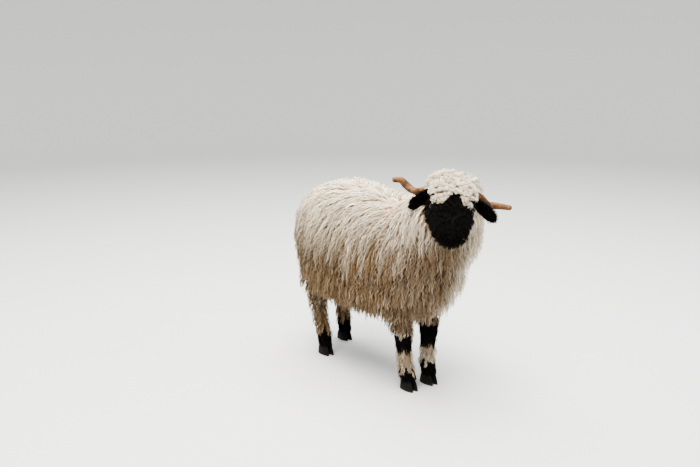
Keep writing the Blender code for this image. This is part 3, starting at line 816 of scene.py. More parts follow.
    def drape_lids(self, own: Array, sign: int) -> None:
        """Lays the skin over an eyeball, with an almond opening.

        Args:
            own: The head's vertices in its own frame; they are moved in place.
            sign: 1 for her left eye, -1 for her right.
        """
        eye = np.array(mirrored(EYE_AT, sign))
        out = Eye.gaze(sign)
        along = out.cross(Z_AXIS).normalized()
        up = along.cross(out)
        arm = own - eye
        depth = arm @ np.array(out)
        a, b = arm @ np.array(along), arm @ np.array(up)
        across = np.hypot(a, b)
        distance = np.linalg.norm(arm, axis=1)
        raised = (b - self.lid_raise) / self.lid_height
        almond = np.sqrt((a / self.lid_width) ** 2 + raised**2)
        full, reach = (EYE_RADIUS * share for share in self.lid_reach)
        front = (depth > -0.002) & (across < reach)
        lid = EYE_RADIUS + self.lid_thick * (1 + 0.5 * bell((almond - 1.25) / 0.25))
        radius = np.where(almond < 1, EYE_RADIUS - self.eye_hollow, np.maximum(distance, lid))
        fade = ease_all(across, reach, full)
        radius = distance + (radius - distance) * np.where(almond < 1, 1, fade)
        own[front] = eye + arm[front] * (radius / distance)[front, None]

    def build(self) -> None:
        """Makes the whole skin."""
        skin = self.body()
        parts = [self.head()]
        for ear in EARS:
            mesh = bmesh.new()
            self.shell(ear, self.ear_rings(ear), mesh)
            parts.append(Shapes.piece("ear", mesh))
        self.thing = Shapes.union(skin, parts)
        self.read()

    def read(self) -> None:
        """Keeps the skin's vertices, triangles, zones and search tree."""
        data = self.thing.data
        self.places = np.empty(len(data.vertices) * 3)
        data.vertices.foreach_get("co", self.places)
        self.places = self.places.reshape(-1, 3)
        data.calc_loop_triangles()
        self.triangles = np.empty(len(data.loop_triangles) * 3, np.int32)
        data.loop_triangles.foreach_get("vertices", self.triangles)
        self.triangles = self.triangles.reshape(-1, 3)
        self.zones = np.array([self.zone_at(Vector(p)).value for p in self.places])
        self.tree = BVHTree.FromPolygons([Vector(p) for p in self.places], self.triangles.tolist())

    def zone_at(self, place: Vector) -> Zone:
        """Which part of the skin a place is on.

        Args:
            place: A place in the ewe's own frame.

        Returns:
            The zone.
        """
        nose = -(HEAD_INVERSE @ place).y
        for ear in EARS:
            if self.near(ear, place, self.EAR_NEAR):
                return ear
        if self.near(Zone.HEAD, place, self.HEAD_NEAR if nose > self.NAPE_FROM else self.NAPE_NEAR):
            return Zone.HEAD
        if place.z < self.LEG_TOP:
            for leg in FEET:
                if self.near(leg, place, self.LIMB_NEAR):
                    return leg
        if place.y > self.TAIL_FROM and self.near(Zone.TAIL, place, self.LIMB_NEAR):
            return Zone.TAIL
        return Zone.NECK if place.y < self.NECK_TO and place.z > self.NECK_FLOOR else Zone.TRUNK

    def near(self, zone: Zone, place: Vector, reach: float) -> bool:
        """Whether a place is within reach of a zone's own shell."""
        return self.shells[zone].find_nearest(place, reach)[0] is not None

    def dress(self) -> None:
        """Writes the markings to the skin and puts it in the place of the flesh nodes."""
        data = self.thing.data
        Markings.onto(data, self.places, self.zones, self.places)
        # The skin takes the coat's painted root shade.
        for name, value in self.STRAND_VALUES:
            Markings.write(data, name, np.full(len(self.places), value))
        finish = WoolFinish("skin", 1.6, sheen=0.0, gloss=0.03, bump=0.6)
        nodes = [*self.FLESH, *(leg.name.lower() for leg in FEET)]
        Shapes.finish(self.thing, Finish.BLACK_WOOL, finish.material(), nodes)


@dataclass
class Eye:
    """One eyeball with a bulging cornea; it keeps its own axes for the iris and the slot pupil."""

    side: str
    sign: int
    bulge: float = 0.09
    cornea: float = 0.62

    @staticmethod
    def gaze(sign: int) -> Vector:
        """The way an eye looks, in the head's frame."""
        return Vector((sign * 0.92, -0.36, 0.14)).normalized()

    @classmethod
    def opening(cls) -> Vector:
        """The middle of the left eye's opening, in the head's frame."""
        return EYE_AT + cls.gaze(1) * EYE_RADIUS

    def build(self, material: Material) -> None:
        """Makes the eyeball.

        Args:
            material: Its material.
        """
        out = self.gaze(self.sign)
        along = out.cross(Z_AXIS).normalized()
        turn = Matrix((along, along.cross(out), out)).transposed()
        mesh = bmesh.new()
        bmesh.ops.create_uvsphere(mesh, u_segments=64, v_segments=40, radius=1.0)
        place = mesh.verts.layers.float_vector.new("gaze")
        for vert in mesh.verts:
            vert[place] = vert.co
            rim = math.hypot(vert.co.x, vert.co.y)
            if vert.co.z > 0 and rim < self.cornea:
                vert.co.z += self.bulge * (1 - (rim / self.cornea) ** 2)
        seat = HEAD @ Matrix.Translation(mirrored(EYE_AT, self.sign)) @ turn.to_4x4()
        bmesh.ops.transform(mesh, verts=mesh.verts, matrix=seat @ Matrix.Scale(EYE_RADIUS, 4))
        thing = Shapes.piece("eyeball_" + self.side, mesh)
        Shapes.finish(thing, Finish.EYE, material, ["eye_" + self.side])


@dataclass
class Horn:
    """One horn: a flattened, ridged, tapering corkscrew that leaves the crown sideways."""

    side: str
    rings: int = 150
    sides: int = 28
    ridges: int = 26
    ridge_height: float = 0.17
    tip_from: float = 0.93
    tip_length: float = 0.07

    # Swings that make the ridges uneven along the horn: height and rate.
    UNEVEN = ((1.1, 19), (0.7, 47))

    def build(self, material: Material) -> None:
        """Makes the horn.

        Args:
            material: Its material.
        """
        rows = [(i, *place) for i, place in enumerate(HORNS[self.side])]
        middles = [Vector(blend_rows(rows, i)[1:]) for i in spaced(0, len(rows) - 1, self.rings)]
        sign = math.copysign(1, middles[-1].x)
        sections, grooves = [], []
        for i, middle in enumerate(middles):
            share = i / (self.rings - 1)
            along = (middles[min(i + 1, self.rings - 1)] - middles[max(i - 1, 0)]).normalized()
            first = (Z_AXIS - along * along.z).normalized()
            turn = sign * 2 * math.pi * (HORN_TURNS * share + HORN_START)
            wide_way = first * math.cos(turn) + along.cross(first) * math.sin(turn)
            wide = HORN_ROOT + (HORN_TIP - HORN_ROOT) * share**HORN_TAPER
            flat = wide * (HORN_FLAT + (1 - HORN_FLAT) * share)
            wave = share**0.9 * self.ridges * math.pi
            for swing, rate in self.UNEVEN:
                wave += swing * math.sin(share * rate)
            grooves.append(1 - abs(math.sin(wave)) ** 0.6)
            height = self.ridge_height * (1 - 0.4 * share)
            height *= 0.75 + 0.45 * math.sin(share * 31 + 1)
            ridge = 1 + height * (0.4 - grooves[-1])
            past = max(0.0, share - self.tip_from) / self.tip_length
            tip = math.sqrt(max(0.01, 1 - past**2))
            sizes = (wide * ridge * tip, flat * ridge * tip)
            ring = oval(middle, wide_way, along.cross(wide_way), *sizes, 2.0, self.sides)
            sections.append([HEAD @ p for p in ring])
        mesh = bmesh.new()
        Shapes.loft(mesh, sections)
        # The material reads the share along the horn and the groove depth for its painted groove
        # shade.
        share_of, groove_of = (mesh.verts.layers.float.new(name) for name in ("along", "groove"))
        for i, vert in enumerate(mesh.verts):
            vert[share_of] = i // self.sides / (self.rings - 1)
            vert[groove_of] = grooves[i // self.sides]
        thing = Shapes.piece("ridged_horn_" + self.side, mesh)
        Shapes.finish(thing, Finish.HORN, material, ["horn_" + self.side])


@dataclass
class Hoof:
    """One foot's pair of claws, flat on the floor."""

    leg: Zone
    gap: float = 0.004
    width: float = 0.025
    top: float = 0.0437
    back: float = 0.030
    front: float = -0.052
    sides: int = 36
    squareness: float = 2.3
    toe_narrow: float = 0.42
    toe_in: float = 0.0016

    # Claw sections: share of height, back edge, front edge, share of width.
    CLAW = (
        (0.00, 0.0285, -0.0495, 0.93),
        (0.03, 0.0297, -0.0515, 0.985),
        (0.10, 0.0300, -0.0518, 1.00),
        (0.30, 0.0290, -0.0490, 0.99),
        (0.55, 0.0270, -0.0450, 0.96),
        (0.80, 0.0240, -0.0390, 0.92),
        (0.93, 0.0225, -0.0350, 0.91),
        (1.00, 0.0210, -0.0325, 0.86),
    )

    def build(self, material: Material) -> None:
        """Makes the outer and the inner claw.

        Args:
            material: Its material.
        """
        foot_x, foot_y = FEET[self.leg]
        foot = self.leg.name.lower().replace("leg_", "")
        outwards = math.copysign(1, foot_x)
        for label, sign in (("outer", outwards), ("inner", -outwards)):
            mesh = bmesh.new()
            Shapes.loft(mesh, [self.section(sign, row, foot_x, foot_y) for row in self.CLAW])
            thing = Shapes.piece(f"claw_{foot}_{label}", mesh)
            soften = thing.modifiers.new("soften", "SUBSURF")
            soften.levels = soften.render_levels = 1
            Shapes.applied(thing)
            Shapes.finish(thing, Finish.HOOF, material, [f"hoof_{foot}_{label}"])

    def section(self, sign: float, row: Row, foot_x: float, foot_y: float) -> Ring:
        """One level section of a claw, flatter on its inner side and pointed at the toe.

        Args:
            sign: 1 where the claw lies to her left of the foot, -1 to her right.
            row: A row of CLAW.
            foot_x: The foot's place along X.
            foot_y: The foot's place along Y.

        Returns:
            The section's points.
        """
        share, back, front, width = row
        x, y = foot_x + sign * (self.gap + self.width) / 2, foot_y + (back + front) / 2
        middle = Vector((x, y, self.top * share))
        half_width, half_length = self.width / 2 * width, (back - front) / 2
        sizes = (half_width, half_length, self.squareness, self.sides)
        ring = oval(ORIGIN, X_AXIS, Y_AXIS, *sizes)
        for place in ring:
            toe = ease(-place.y / half_length * 1.3 - 0.3)
            place.x *= 1 - self.toe_narrow * toe
            place.x -= sign * self.toe_in * toe
        return [middle + place for place in ring]


@dataclass(frozen=True)
class Lock:
    """How one kind of lock grows, in metres.

    A lock is a bundle of strands that start side by side, swing together and gather at the tip.
    """

    spacing: float
    length: float
    rise: float
    strands: int
    spread: float
    gather: float
    wide: float
    flat: float
    steps: int
    wave: float
    wavelength: float
    sunk: float = 0.004
    vary: float = 0.15
    loose: float = 0.0
    tangle: float = 0.9


@dataclass
class Strands:
    """The strands of one coat as arrays: their lines, widths and what their material reads."""

    middle: Array
    side: Array
    out: Array
    wide: Array
    flat: Array
    share: Array
    chance: Array
    root: Array
    zone: Array
    tile: Array

    def part(self, keep: Array) -> "Strands":
        """Only some of the strands."""
        return Strands(*(getattr(self, name)[keep] for name in self.__dataclass_fields__))


class Lies:
    """Which way each kind of hair lies at a place."""

    SPINE_HALF = 0.045
    BODY_WAVES = 16
    CROWN_BACK = Vector((0, 0.075, 0))
    CROWN_WAVES = 130
    CROWN_FRIZZ = 0.9
    BLAZE_HALF = 0.03

    @staticmethod
    def along_skin(way: Vector, facing: Vector) -> Vector:
        """A direction laid flat on the skin."""
        flat = way - facing * way.dot(facing)
        return flat.normalized() if flat.length > 1e-4 else way

    @classmethod
    def body(cls, place: Vector, facing: Vector) -> Vector:
        """The fleece lies back along the spine, falls down the sides and back over the rump.

        Args:
            place: A place in the ewe's own frame.
            facing: The way the skin faces there.

        Returns:
            A unit vector along the skin.
        """
        top = max(0.0, facing.z)
        back = 0.12 + 0.45 * min(1.0, max(0.0, (place.y + 0.1) / 0.5)) + 0.7 * top**2
        aside = max(-1.0, min(1.0, place.x / cls.SPINE_HALF))
        way = Vector((0.5 * top * aside, back, -1))
        stray = noise.noise_vector(place * cls.BODY_WAVES) * (0.18 + 0.40 * top)
        return cls.along_skin(way + stray, facing)

    @classmethod
    def down(cls, place: Vector, facing: Vector) -> Vector:
        """Straight down."""
        return cls.along_skin(DOWN, facing)

    @classmethod
    def crown(cls, place: Vector, facing: Vector) -> Vector:
        """Forwards and down from the nape over the brow, back from the temples, and frizzy.

        Args:
            place: A place in the ewe's own frame.
            facing: The way the skin faces there.

        Returns:
            A unit vector along the skin.
        """
        arm = HEAD_INVERSE @ place - CAP_AT - cls.CROWN_BACK
        forwards = 1 - 1.6 * ease((abs(arm.x) - 0.040) / 0.025)
        way = HEAD.to_3x3() @ Vector((arm.x * 8, arm.y * 8 * forwards, arm.z * 8 - 1))
        stray = noise.noise_vector(place * cls.CROWN_WAVES) * cls.CROWN_FRIZZ
        return cls.along_skin(way + stray, facing)

    @classmethod
    def face(cls, place: Vector, facing: Vector) -> Vector:
        """Back from the nose, outwards and down over the cheeks.

        Args:
            place: A place in the ewe's own frame.
            facing: The way the skin faces there.

        Returns:
            A unit vector along the skin.
        """
        own = HEAD_INVERSE @ place
        aside = max(-1.0, min(1.0, own.x / cls.BLAZE_HALF))
        return cls.along_skin(HEAD.to_3x3() @ Vector((0.5 * aside, 0.75, -0.50)), facing)

    @classmethod
    def ear(cls, place: Vector, facing: Vector) -> Vector:
        """From the ear's root to its tip."""
        root, tip = EARS[Zone.EAR_LEFT if (HEAD_INVERSE @ place).x > 0 else Zone.EAR_RIGHT]
        return cls.along_skin(HEAD.to_3x3() @ (tip - root), facing)


class Unwrap:
    """A place on an unwrap of the skin's own shape: each zone is rolled out round its own axis."""

    # Tile corner, tile size, and the two ends of the zone's axis.
    TILES = {
        Zone.TRUNK: ((0.01, 0.01), (0.58, 0.50), Vector((0, -0.50, 0.57)), Vector((0, 0.53, 0.57))),
        Zone.NECK: ((0.61, 0.01), (0.38, 0.24), Vector((0, -0.20, 0.56)), Vector((0, -0.52, 0.83))),
        Zone.HEAD: (
            (0.61, 0.27), (0.38, 0.24),
            HEAD @ Vector((0, 0.07, -0.04)), HEAD @ Vector((0, -0.27, -0.05)),
        ),
        Zone.TAIL: ((0.01, 0.54), (0.14, 0.20), Vector((0, 0.44, 0.72)), Vector((0, 0.50, 0.35))),
    }

    # The legs' tiles lie side by side and the ears' one over the other: first corner, step, size.
    LEG_TILES = ((0.17, 0.54), 0.15, (0.14, 0.24))
    EAR_TILES = ((0.78, 0.54), 0.13, (0.12, 0.12))

    @classmethod
    def tile(cls, zone: Zone) -> tuple:
        """Finds the tile of a zone and its axis.

        Args:
            zone: The part of the skin.

        Returns:
            The tile's corner and size, and the two ends of the zone's axis.
        """
        if zone in cls.TILES:
            return cls.TILES[zone]
        if zone in FEET:
            (x, y), step, size = cls.LEG_TILES
            column = zone.value - Zone.LEG_FRONT_LEFT.value
            top = leg_line(zone, LEAN_HEIGHT, 0.0)
            return (x + step * column, y), size, top, Vector((*FEET[zone], 0))
        (x, y), step, size = cls.EAR_TILES
        root, tip = EARS[zone]
        return (x, y + step * (zone.value - Zone.EAR_LEFT.value)), size, HEAD @ root, HEAD @ tip

    @classmethod
    def place(cls, zone: Zone, points: Array) -> Array:
        """Where some points of a zone lie on the unwrap.

        Args:
            zone: The part of the skin.
            points: Places on the zone.

        Returns:
            Where each lies on the unwrap.
        """
        corner, size, start, end = cls.tile(zone)
        axis = (end - start).normalized()
        side = axis.cross(Z_AXIS if abs(axis.z) < 0.8 else Y_AXIS).normalized()
        up = side.cross(axis)
        arm = points - np.array(start)
        along = np.clip(arm @ np.array(axis) / (end - start).length, 0, 1)
        turn = np.arctan2(arm @ np.array(side), arm @ np.array(up)) / (2 * math.pi) + 0.5
        return np.stack((corner[0] + size[0] * turn, corner[1] + size[1] * along), axis=1)


class Markings:
    """Where her coat is black, brown or stained, alike on skin and wool."""

    # Heights at which a leg's wool turns: black below the first, cream to the second,
    # black to the third, fleece above it.
    BANDS = {
        Zone.LEG_FRONT_RIGHT: (0.098, 0.178, 0.268),
        Zone.LEG_FRONT_LEFT: (0.112, 0.170, 0.282),
        Zone.LEG_HIND_RIGHT: (0.118, 1.0, 1.0),
        Zone.LEG_HIND_LEFT: (0.118, 1.0, 1.0),
    }
    BAND_BROWN = {Zone.LEG_FRONT_RIGHT: 0.66, Zone.LEG_FRONT_LEFT: 0.46}
    BAND_TOP = 0.25
    LEG_BROWN = 0.92
    WOBBLE = 0.008

    # Where the crown's wool ends, in the head's frame: the nape and the fringe along the nose,
    # the height of its edge at the nape, by the temples and over the brow, the strip by the
    # temple (how far forward, from how far aside, aside all the way), and the blaze (start, half
    # width there, widening).
    NAPE_TO = 0.012
    FRINGE_TO = 0.116
    EDGE_HEIGHTS = (-0.30, 0.034, 0.004)
    TEMPLE = (0.072, 0.048, 0.056)
    BLAZE = (0.084, 0.010, 0.70)

    SMUDGE_AT = Vector((-0.060, -0.250, 0.745))
    SMUDGE_SIZE = Vector((0.075, 0.065, 0.050))

    @classmethod
    def crown(cls, own: Array) -> Array:
        """Which places on the head carry the cream crown wool.

        The crown ends in a fringe over the brow with a black blaze in its middle, and a black
        strip runs up each temple in front of the ear.

        Args:
            own: Places in the head's own frame.

        Returns:
            Whether each is under the crown.
        """
        x, nose, z = np.abs(own[:, 0]), -own[:, 1], own[:, 2]
        at_nape, by_temple, over_brow = cls.EDGE_HEIGHTS
        forward, aside, all_along = cls.TEMPLE
        temple = ((nose < forward) & (x > aside)) | (x > all_along)
        edge = np.where(temple, by_temple, over_brow)
        edge = np.where(nose < cls.NAPE_TO, at_nape, edge)
        start, half_width, widening = cls.BLAZE
        blaze = (nose > start) & (x < half_width + widening * (nose - start))
        return (z > edge) & (nose < cls.FRINGE_TO) & ~blaze

    @classmethod
    def black(cls, places: Array, zones: Array) -> Array:
        """How black the coat is at places, from 0 to 1.

        Args:
            places: The places.
            zones: The part of the skin that each is on.

        Returns:
            A value for each place.
        """
        black = np.zeros(len(places))
        own = to_head(places)
        head = zones == Zone.HEAD.value
        black[head] = 1.0 - cls.crown(own[head])
        for ear in EARS:
            black[zones == ear.value] = 1.0
        z = places[:, 2] + cls.WOBBLE * np.sin(places[:, 0] * 210 + places[:, 1] * 160)
        for leg, (foot, knee, top) in cls.BANDS.items():
            on_leg = zones == leg.value
            black[on_leg & ((z < foot) | ((z > knee) & (z < top)))] = 1.0
        return black

    @classmethod
    def brown(cls, places: Array, zones: Array) -> Array:
        """How far dust has turned the cream to brown, from 0 to 1.

        The belly's edge, the rump, the shoulder and the right of the chest are the brownest, and
        the left of the neck is clean.

        Args:
            places: Places of the wool itself, because the hanging tips are the dirtiest.
            zones: The part of the skin that each grows on.

        Returns:
            A value for each place.
        """
        x, y, z = places.T
        waves = np.sin(x * 23 + y * 19 + 1.3) * np.sin(y * 41 + z * 9) + np.sin(y * 67 + z * 13)
        patchy = 0.5 + 0.25 * waves
        belly = 0.44 * ease_all(z + 0.06 * patchy, 0.88, 0.62)
        belly += 0.60 * ease_all(z + 0.16 * patchy, 0.78, 0.46)
        rump = 0.16 * ease_all(y, 0.25, 0.48)
        shoulder = 0.20 * bell((y + 0.24) / 0.14, (z - 0.62) / 0.12)
        chest = bell((x + 0.05) / 0.11, (z - 0.54) / 0.14) * ease_all(y, -0.30, -0.42)
        clean = ease_all(x, -0.05, 0.11) * ease_all(y + 0.12 * patchy, 0.02, -0.34)
        brown = 1.02 * belly + 0.62 * chest + (rump + shoulder) + 0.06 * patchy
        brown = np.clip(brown, 0, 1)
        brown += (0.06 + 0.34 * brown - brown) * clean
        own = to_head(places)
        head = zones == Zone.HEAD.value
        brown[head] = 0.04 + 0.12 * patchy[head] * ease_all(own[head, 2], 0.05, -0.05)
        for leg in FEET:
            on_leg = zones == leg.value
            band = cls.BAND_BROWN.get(leg, cls.LEG_BROWN)
            above = z[on_leg] > cls.BAND_TOP
            brown[on_leg] = np.where(above, cls.LEG_BROWN, band) + 0.10 * patchy[on_leg]
        return np.clip(brown, 0, 1)

    @classmethod
    def smudge(cls, places: Array) -> Array:
        """How strong the faint salmon stain on the withers is."""
        arm = (places - np.array(cls.SMUDGE_AT)) / np.array(cls.SMUDGE_SIZE)
        return np.exp(-(arm**2).sum(1) * 1.6)

    @classmethod
    def onto(cls, data: bpy.types.Mesh, roots: Array, zones: Array, places: Array) -> None:
        """Writes the markings to a mesh, one value for each vertex.

        Args:
            data: The mesh.
            roots: Where each vertex' strand grows, or the vertex itself on the skin.
            zones: The part of the skin that it grows on.
            places: The vertices' own places.
        """
        values = {
            "black": cls.black(roots, zones),
            "brown": cls.brown(places, zones),
            "smudge": cls.smudge(places),
        }
        for name, numbers in values.items():
            cls.write(data, name, numbers)

    @staticmethod
    def write(data: bpy.types.Mesh, name: str, values: Array) -> None:
        """Keeps one value for each vertex of a mesh."""
        layer = data.attributes.new(name, "FLOAT", "POINT")
        layer.data.foreach_set("value", values.astype(np.float32))


@dataclass
class Faces:
    """Faces of the skin, and which of them each coat grows on.

    Each test gives one yes or no for each face.
    """

    middles: Array
    facings: Array
    zones: Array

    MUZZLE_FROM = -0.226
    NAPE_MIDDLE = -0.055
    NAPE_REACH = 0.100
    LID_SHAPE = np.array((0.6, 0.8, 1.0))
    LID_REACH = 0.0115
    SOLE_FACING = -0.8

    def __post_init__(self) -> None:
        """Finds the places in the head's own frame, and which are black."""
        self.own = to_head(self.middles)
        self.dark = Markings.black(self.middles, self.zones) > 0.5

    def on(self, *zones: Zone) -> Array:
        """Some parts of the skin."""
        return np.isin(self.zones, [zone.value for zone in zones])

    def nape(self) -> Array:
        """The nape, which the crown's wool covers.

        Returns:
            One yes or no for each face.
        """
        y, z = self.own[:, 1], self.own[:, 2]
        low = np.where(y < -0.020, -0.030, -0.075)
        near = np.abs(y - self.NAPE_MIDDLE) < self.NAPE_REACH
        return self.on(Zone.TRUNK, Zone.NECK) & near & (z > low)

    def body(self) -> Array:
        """Trunk and neck."""
        return self.on(Zone.TRUNK, Zone.NECK) & ~self.nape()

    def tail(self) -> Array:
        """The tail."""
        return self.on(Zone.TAIL)

    def crown(self) -> Array:
        """The cream wool of the head and nape."""
        return (self.on(Zone.HEAD) & ~self.dark) | self.nape()

    def lids(self) -> Array:
        """An eye's lids and its opening.

        Returns:
            One yes or no for each face.
        """
        half = np.abs(self.own) * np.array((1, 0, 0)) + self.own * np.array((0, 1, 1))
        arm = half - np.array(Eye.opening())
        return np.linalg.norm(arm * self.LID_SHAPE, axis=1) < self.LID_REACH

    def face(self) -> Array:
        """The black wool of cheeks, brow and temples, clear of the eyes."""
        behind = self.own[:, 1] > self.MUZZLE_FROM
        return self.on(Zone.HEAD) & self.dark & behind & ~self.lids()

    def muzzle(self) -> Array:
        """The short black hair of the muzzle, clear of the nose pad.

        Returns:
            One yes or no for each face.
        """
        x, y, z = self.own.T
        pad = (y < -0.249) & (np.abs(x) < 0.015) & (z > -0.066)
        return self.on(Zone.HEAD) & self.dark & (y <= self.MUZZLE_FROM) & ~pad

    def ears(self) -> Array:
        """Both ears."""
        return self.on(*EARS)

    def legs(self) -> Array:
        """The woolly stretches of the legs."""
        return self.on(*FEET) & ~self.dark

    def feet(self) -> Array:
        """The black stretches of the legs, but not their cut ends."""
        return self.on(*FEET) & self.dark & (self.facings[:, 2] > self.SOLE_FACING)


@dataclass
class Coat:
    """Grows locks of one kind on some of the skin and makes their meshes."""

    skin: Skin
    name: str
    lock: Lock
    lie: Callable[[Vector, Vector], Vector]
    wanted: Callable[[Faces], Array]
    slot: Finish = Finish.FLEECE
    seed: int = SEED
    rise_at: Callable[[Vector, Vector], float] | None = None
    reach_at: Callable[[Vector, Vector], float] | None = None
    limit: int = 190_000

    SIDES = 3
    HANG_LIMIT = -0.25
    CLIMB = 1.7
    PATCH = 0.003
    TRIES = 3.2
    TURNING = 0.45
    HANG_STRAY = 0.3
    FLOOR_GAP = 0.006

    def roots(self) -> tuple[Array, Array, Array]:
        """Scattered places on the skin, at least the lock's spacing apart.

        Returns:
            Places, the ways the skin faces there and their zones.
        """
        draw = np.random.default_rng(self.seed)
        corners = self.skin.places[self.skin.triangles]
        cross = np.cross(corners[:, 1] - corners[:, 0], corners[:, 2] - corners[:, 0])
        area = np.linalg.norm(cross, axis=1)
        zones = self.skin.zones[self.skin.triangles[:, 0]]
        facing = cross / np.maximum(area, 1e-12)[:, None]
        area = area * self.wanted(Faces(corners.mean(1), facing, zones))
        count = int(area.sum() / 2 / self.lock.spacing**2 * self.TRIES) + 1
        picked = draw.choice(len(area), count, p=area / area.sum())
        a, b = np.sort(draw.random((2, count)), axis=0)
        shares = np.stack((a, b - a, 1 - b), axis=1)
        places = (corners[picked] * shares[:, :, None]).sum(1)
        kept = self.thinned(places)
        return places[kept], facing[picked][kept], zones[picked][kept]

    def thinned(self, places: Array) -> list[int]:
        """Which places to keep so that none are nearer than the spacing.

        Args:
            places: Places in the order of their draws.

        Returns:
            The places that stay, by number.
        """
        cells: dict[tuple[int, int, int], list[int]] = {}
        kept = []
        cell_of = np.floor(places / self.lock.spacing).astype(int)
        limit = self.lock.spacing**2
        around = [(i, j, k) for i in (-1, 0, 1) for j in (-1, 0, 1) for k in (-1, 0, 1)]
        for index, (cell, place) in enumerate(zip(cell_of.tolist(), places.tolist())):
            near = (
                other
                for i, j, k in around
                for other in cells.get((cell[0] + i, cell[1] + j, cell[2] + k), ())
            )
            if all(sum((p - q) ** 2 for p, q in zip(place, other)) > limit for other in near):
                cells.setdefault(tuple(cell), []).append(place)
                kept.append(index)
        return kept

    def guide(self, place: Vector, facing: Vector, length: float, rise: float) -> tuple[list, list]:
        """The middle line of one lock.

        It lies along the skin, rises out of it, and hangs freely where the skin turns under.

        Args:
            place: Its root on the skin.
            facing: The way the skin faces there.
            length: How long it is.
            rise: How far over the skin it comes to lie.

        Returns:
            Its points, and the ways it faces at them.
        """
        points, ways = [], []
        free = False
        step = length / self.lock.steps
        for i in range(self.lock.steps + 1):
            share = i / self.lock.steps
            climb = min(1.0, share * self.CLIMB)
            lift = (rise + self.lock.sunk) * climb * (2 - climb) - self.lock.sunk
            points.append(place + facing * lift)
            ways.append(facing.copy())
            way = self.lie(place, facing)
            free = free or (facing.z < self.HANG_LIMIT and way.z < 0)
            if free:
                facing = Vector((facing.x, facing.y, 0)).normalized()
                place = place + (DOWN + way * self.HANG_STRAY).normalized() * step
            else:
                place, turned = self.skin.tree.find_nearest(place + way * step)[:2]
                facing = (facing * (1 - self.TURNING) + turned * self.TURNING).normalized()
        return points, ways

    def guides(self) -> tuple[Array, ...]:
        """Every lock's middle line, facing, zone and root.

        Returns:
            Lines, ways they face, zones, roots and one chance for each.
        """
        places, facing, zones = self.roots()
        draw = np.random.default_rng(self.seed + 1)
        chance = draw.random((len(places), 3))
        lines, ways = [], []
        for place, way, luck in zip(places, facing, chance):
            place, way = Vector(place), Vector(way)
            length = self.lock.length * (1 + self.lock.vary * (2 * luck[0] - 1))
            if self.reach_at:
                length = min(length, self.reach_at(place, way) * (0.86 + 0.28 * luck[2]))
            full = self.rise_at(place, way) if self.rise_at else self.lock.rise
            rise = full * (1 - self.lock.loose * luck[1])
            line, turn = self.guide(place, way, length, rise)
            lines.append(line)
            ways.append(turn)
        return np.array(lines), np.array(ways), zones, places, chance[:, 2]

    def grow(self) -> Strands:
        """Makes the strands of every lock.

        Returns:
            The strands.
        """
        lock = self.lock
        lines, ways, zones, roots, luck = self.guides()
        draw = np.random.default_rng(self.seed + 2)
        count, points = lines.shape[:2]
        along = np.gradient(lines, axis=1)
        along /= np.linalg.norm(along, axis=2, keepdims=True)
        side = np.cross(along, ways)
        side /= np.maximum(np.linalg.norm(side, axis=2, keepdims=True), 1e-9)
        out = np.cross(side, along)
        many = lock.strands
        strands = (count * many, 1)

        def each(values: Array) -> Array:
            """The same values for every strand of a lock."""
            return np.repeat(values, many, axis=0)

        share = np.linspace(0, 1, points)[None, :] * draw.uniform(0.80, 1.0, strands)
        index = share * (points - 1)
        low = np.minimum(index.astype(int), points - 2)
        mix = (index - low)[:, :, None]
        rows = np.arange(count * many)[:, None]

        def sampled(values: Array) -> Array:
            """Values of the lock at the strand's own shares."""
            values = each(values)
            return values[rows, low] * (1 - mix) + values[rows, low + 1] * mix

        middle, side, out = sampled(lines), sampled(side), sampled(out)
        angle = draw.uniform(0, 2 * math.pi, strands)
        radius = lock.spread * np.sqrt(draw.random(strands))
        gathered = 1 - (1 - lock.gather) * share**0.8
        phase = each(draw.uniform(0, 2 * math.pi, (count, 1)))
        phase = phase + draw.normal(0, lock.tangle, strands)
        length = each(np.linalg.norm(np.diff(lines, axis=1), axis=2).sum(1)[:, None])
        stretch = each(draw.uniform(0.8, 1.25, (count, 1)))
        swing = 2 * math.pi * share * length / (lock.wavelength * stretch) + phase
        swell = lock.wave * np.minimum(1, 0.35 + share * 1.4) * draw.uniform(0.7, 1.3, strands)
        across = radius * np.cos(angle) * gathered + swell * np.sin(swing)
        lift = radius * 0.55 * np.sin(angle) * gathered + swell * 0.6 * np.cos(swing)
        middle = middle + side * across[:, :, None] + out * lift[:, :, None]
        middle[:, :, 2] = np.maximum(middle[:, :, 2], self.FLOOR_GAP)
        thin = 0.55 + 0.45 * np.sin(math.pi * np.minimum(share * 1.15 + 0.12, 1))
        thin *= 1 - share**5 * 0.6
        size = draw.uniform(0.75, 1.2, strands)
        strand_roots = middle[:, 0] - out[:, 0] * lift[:, :1]
        tile = np.zeros((count * many, 2))
        each_zone = each(zones)
        for zone in Zone:
            of_zone = each_zone == zone.value
            if of_zone.any():
                tile[of_zone] = Unwrap.place(zone, strand_roots[of_zone])
        tone = np.clip(0.35 * each(luck[:, None]) + 0.65 * draw.random(strands), 0, 1)
        return Strands(
            middle, side, out, lock.wide * thin * size, lock.flat * thin * size, share,
            np.broadcast_to(tone, share.shape), each(roots), each_zone, tile,
        )

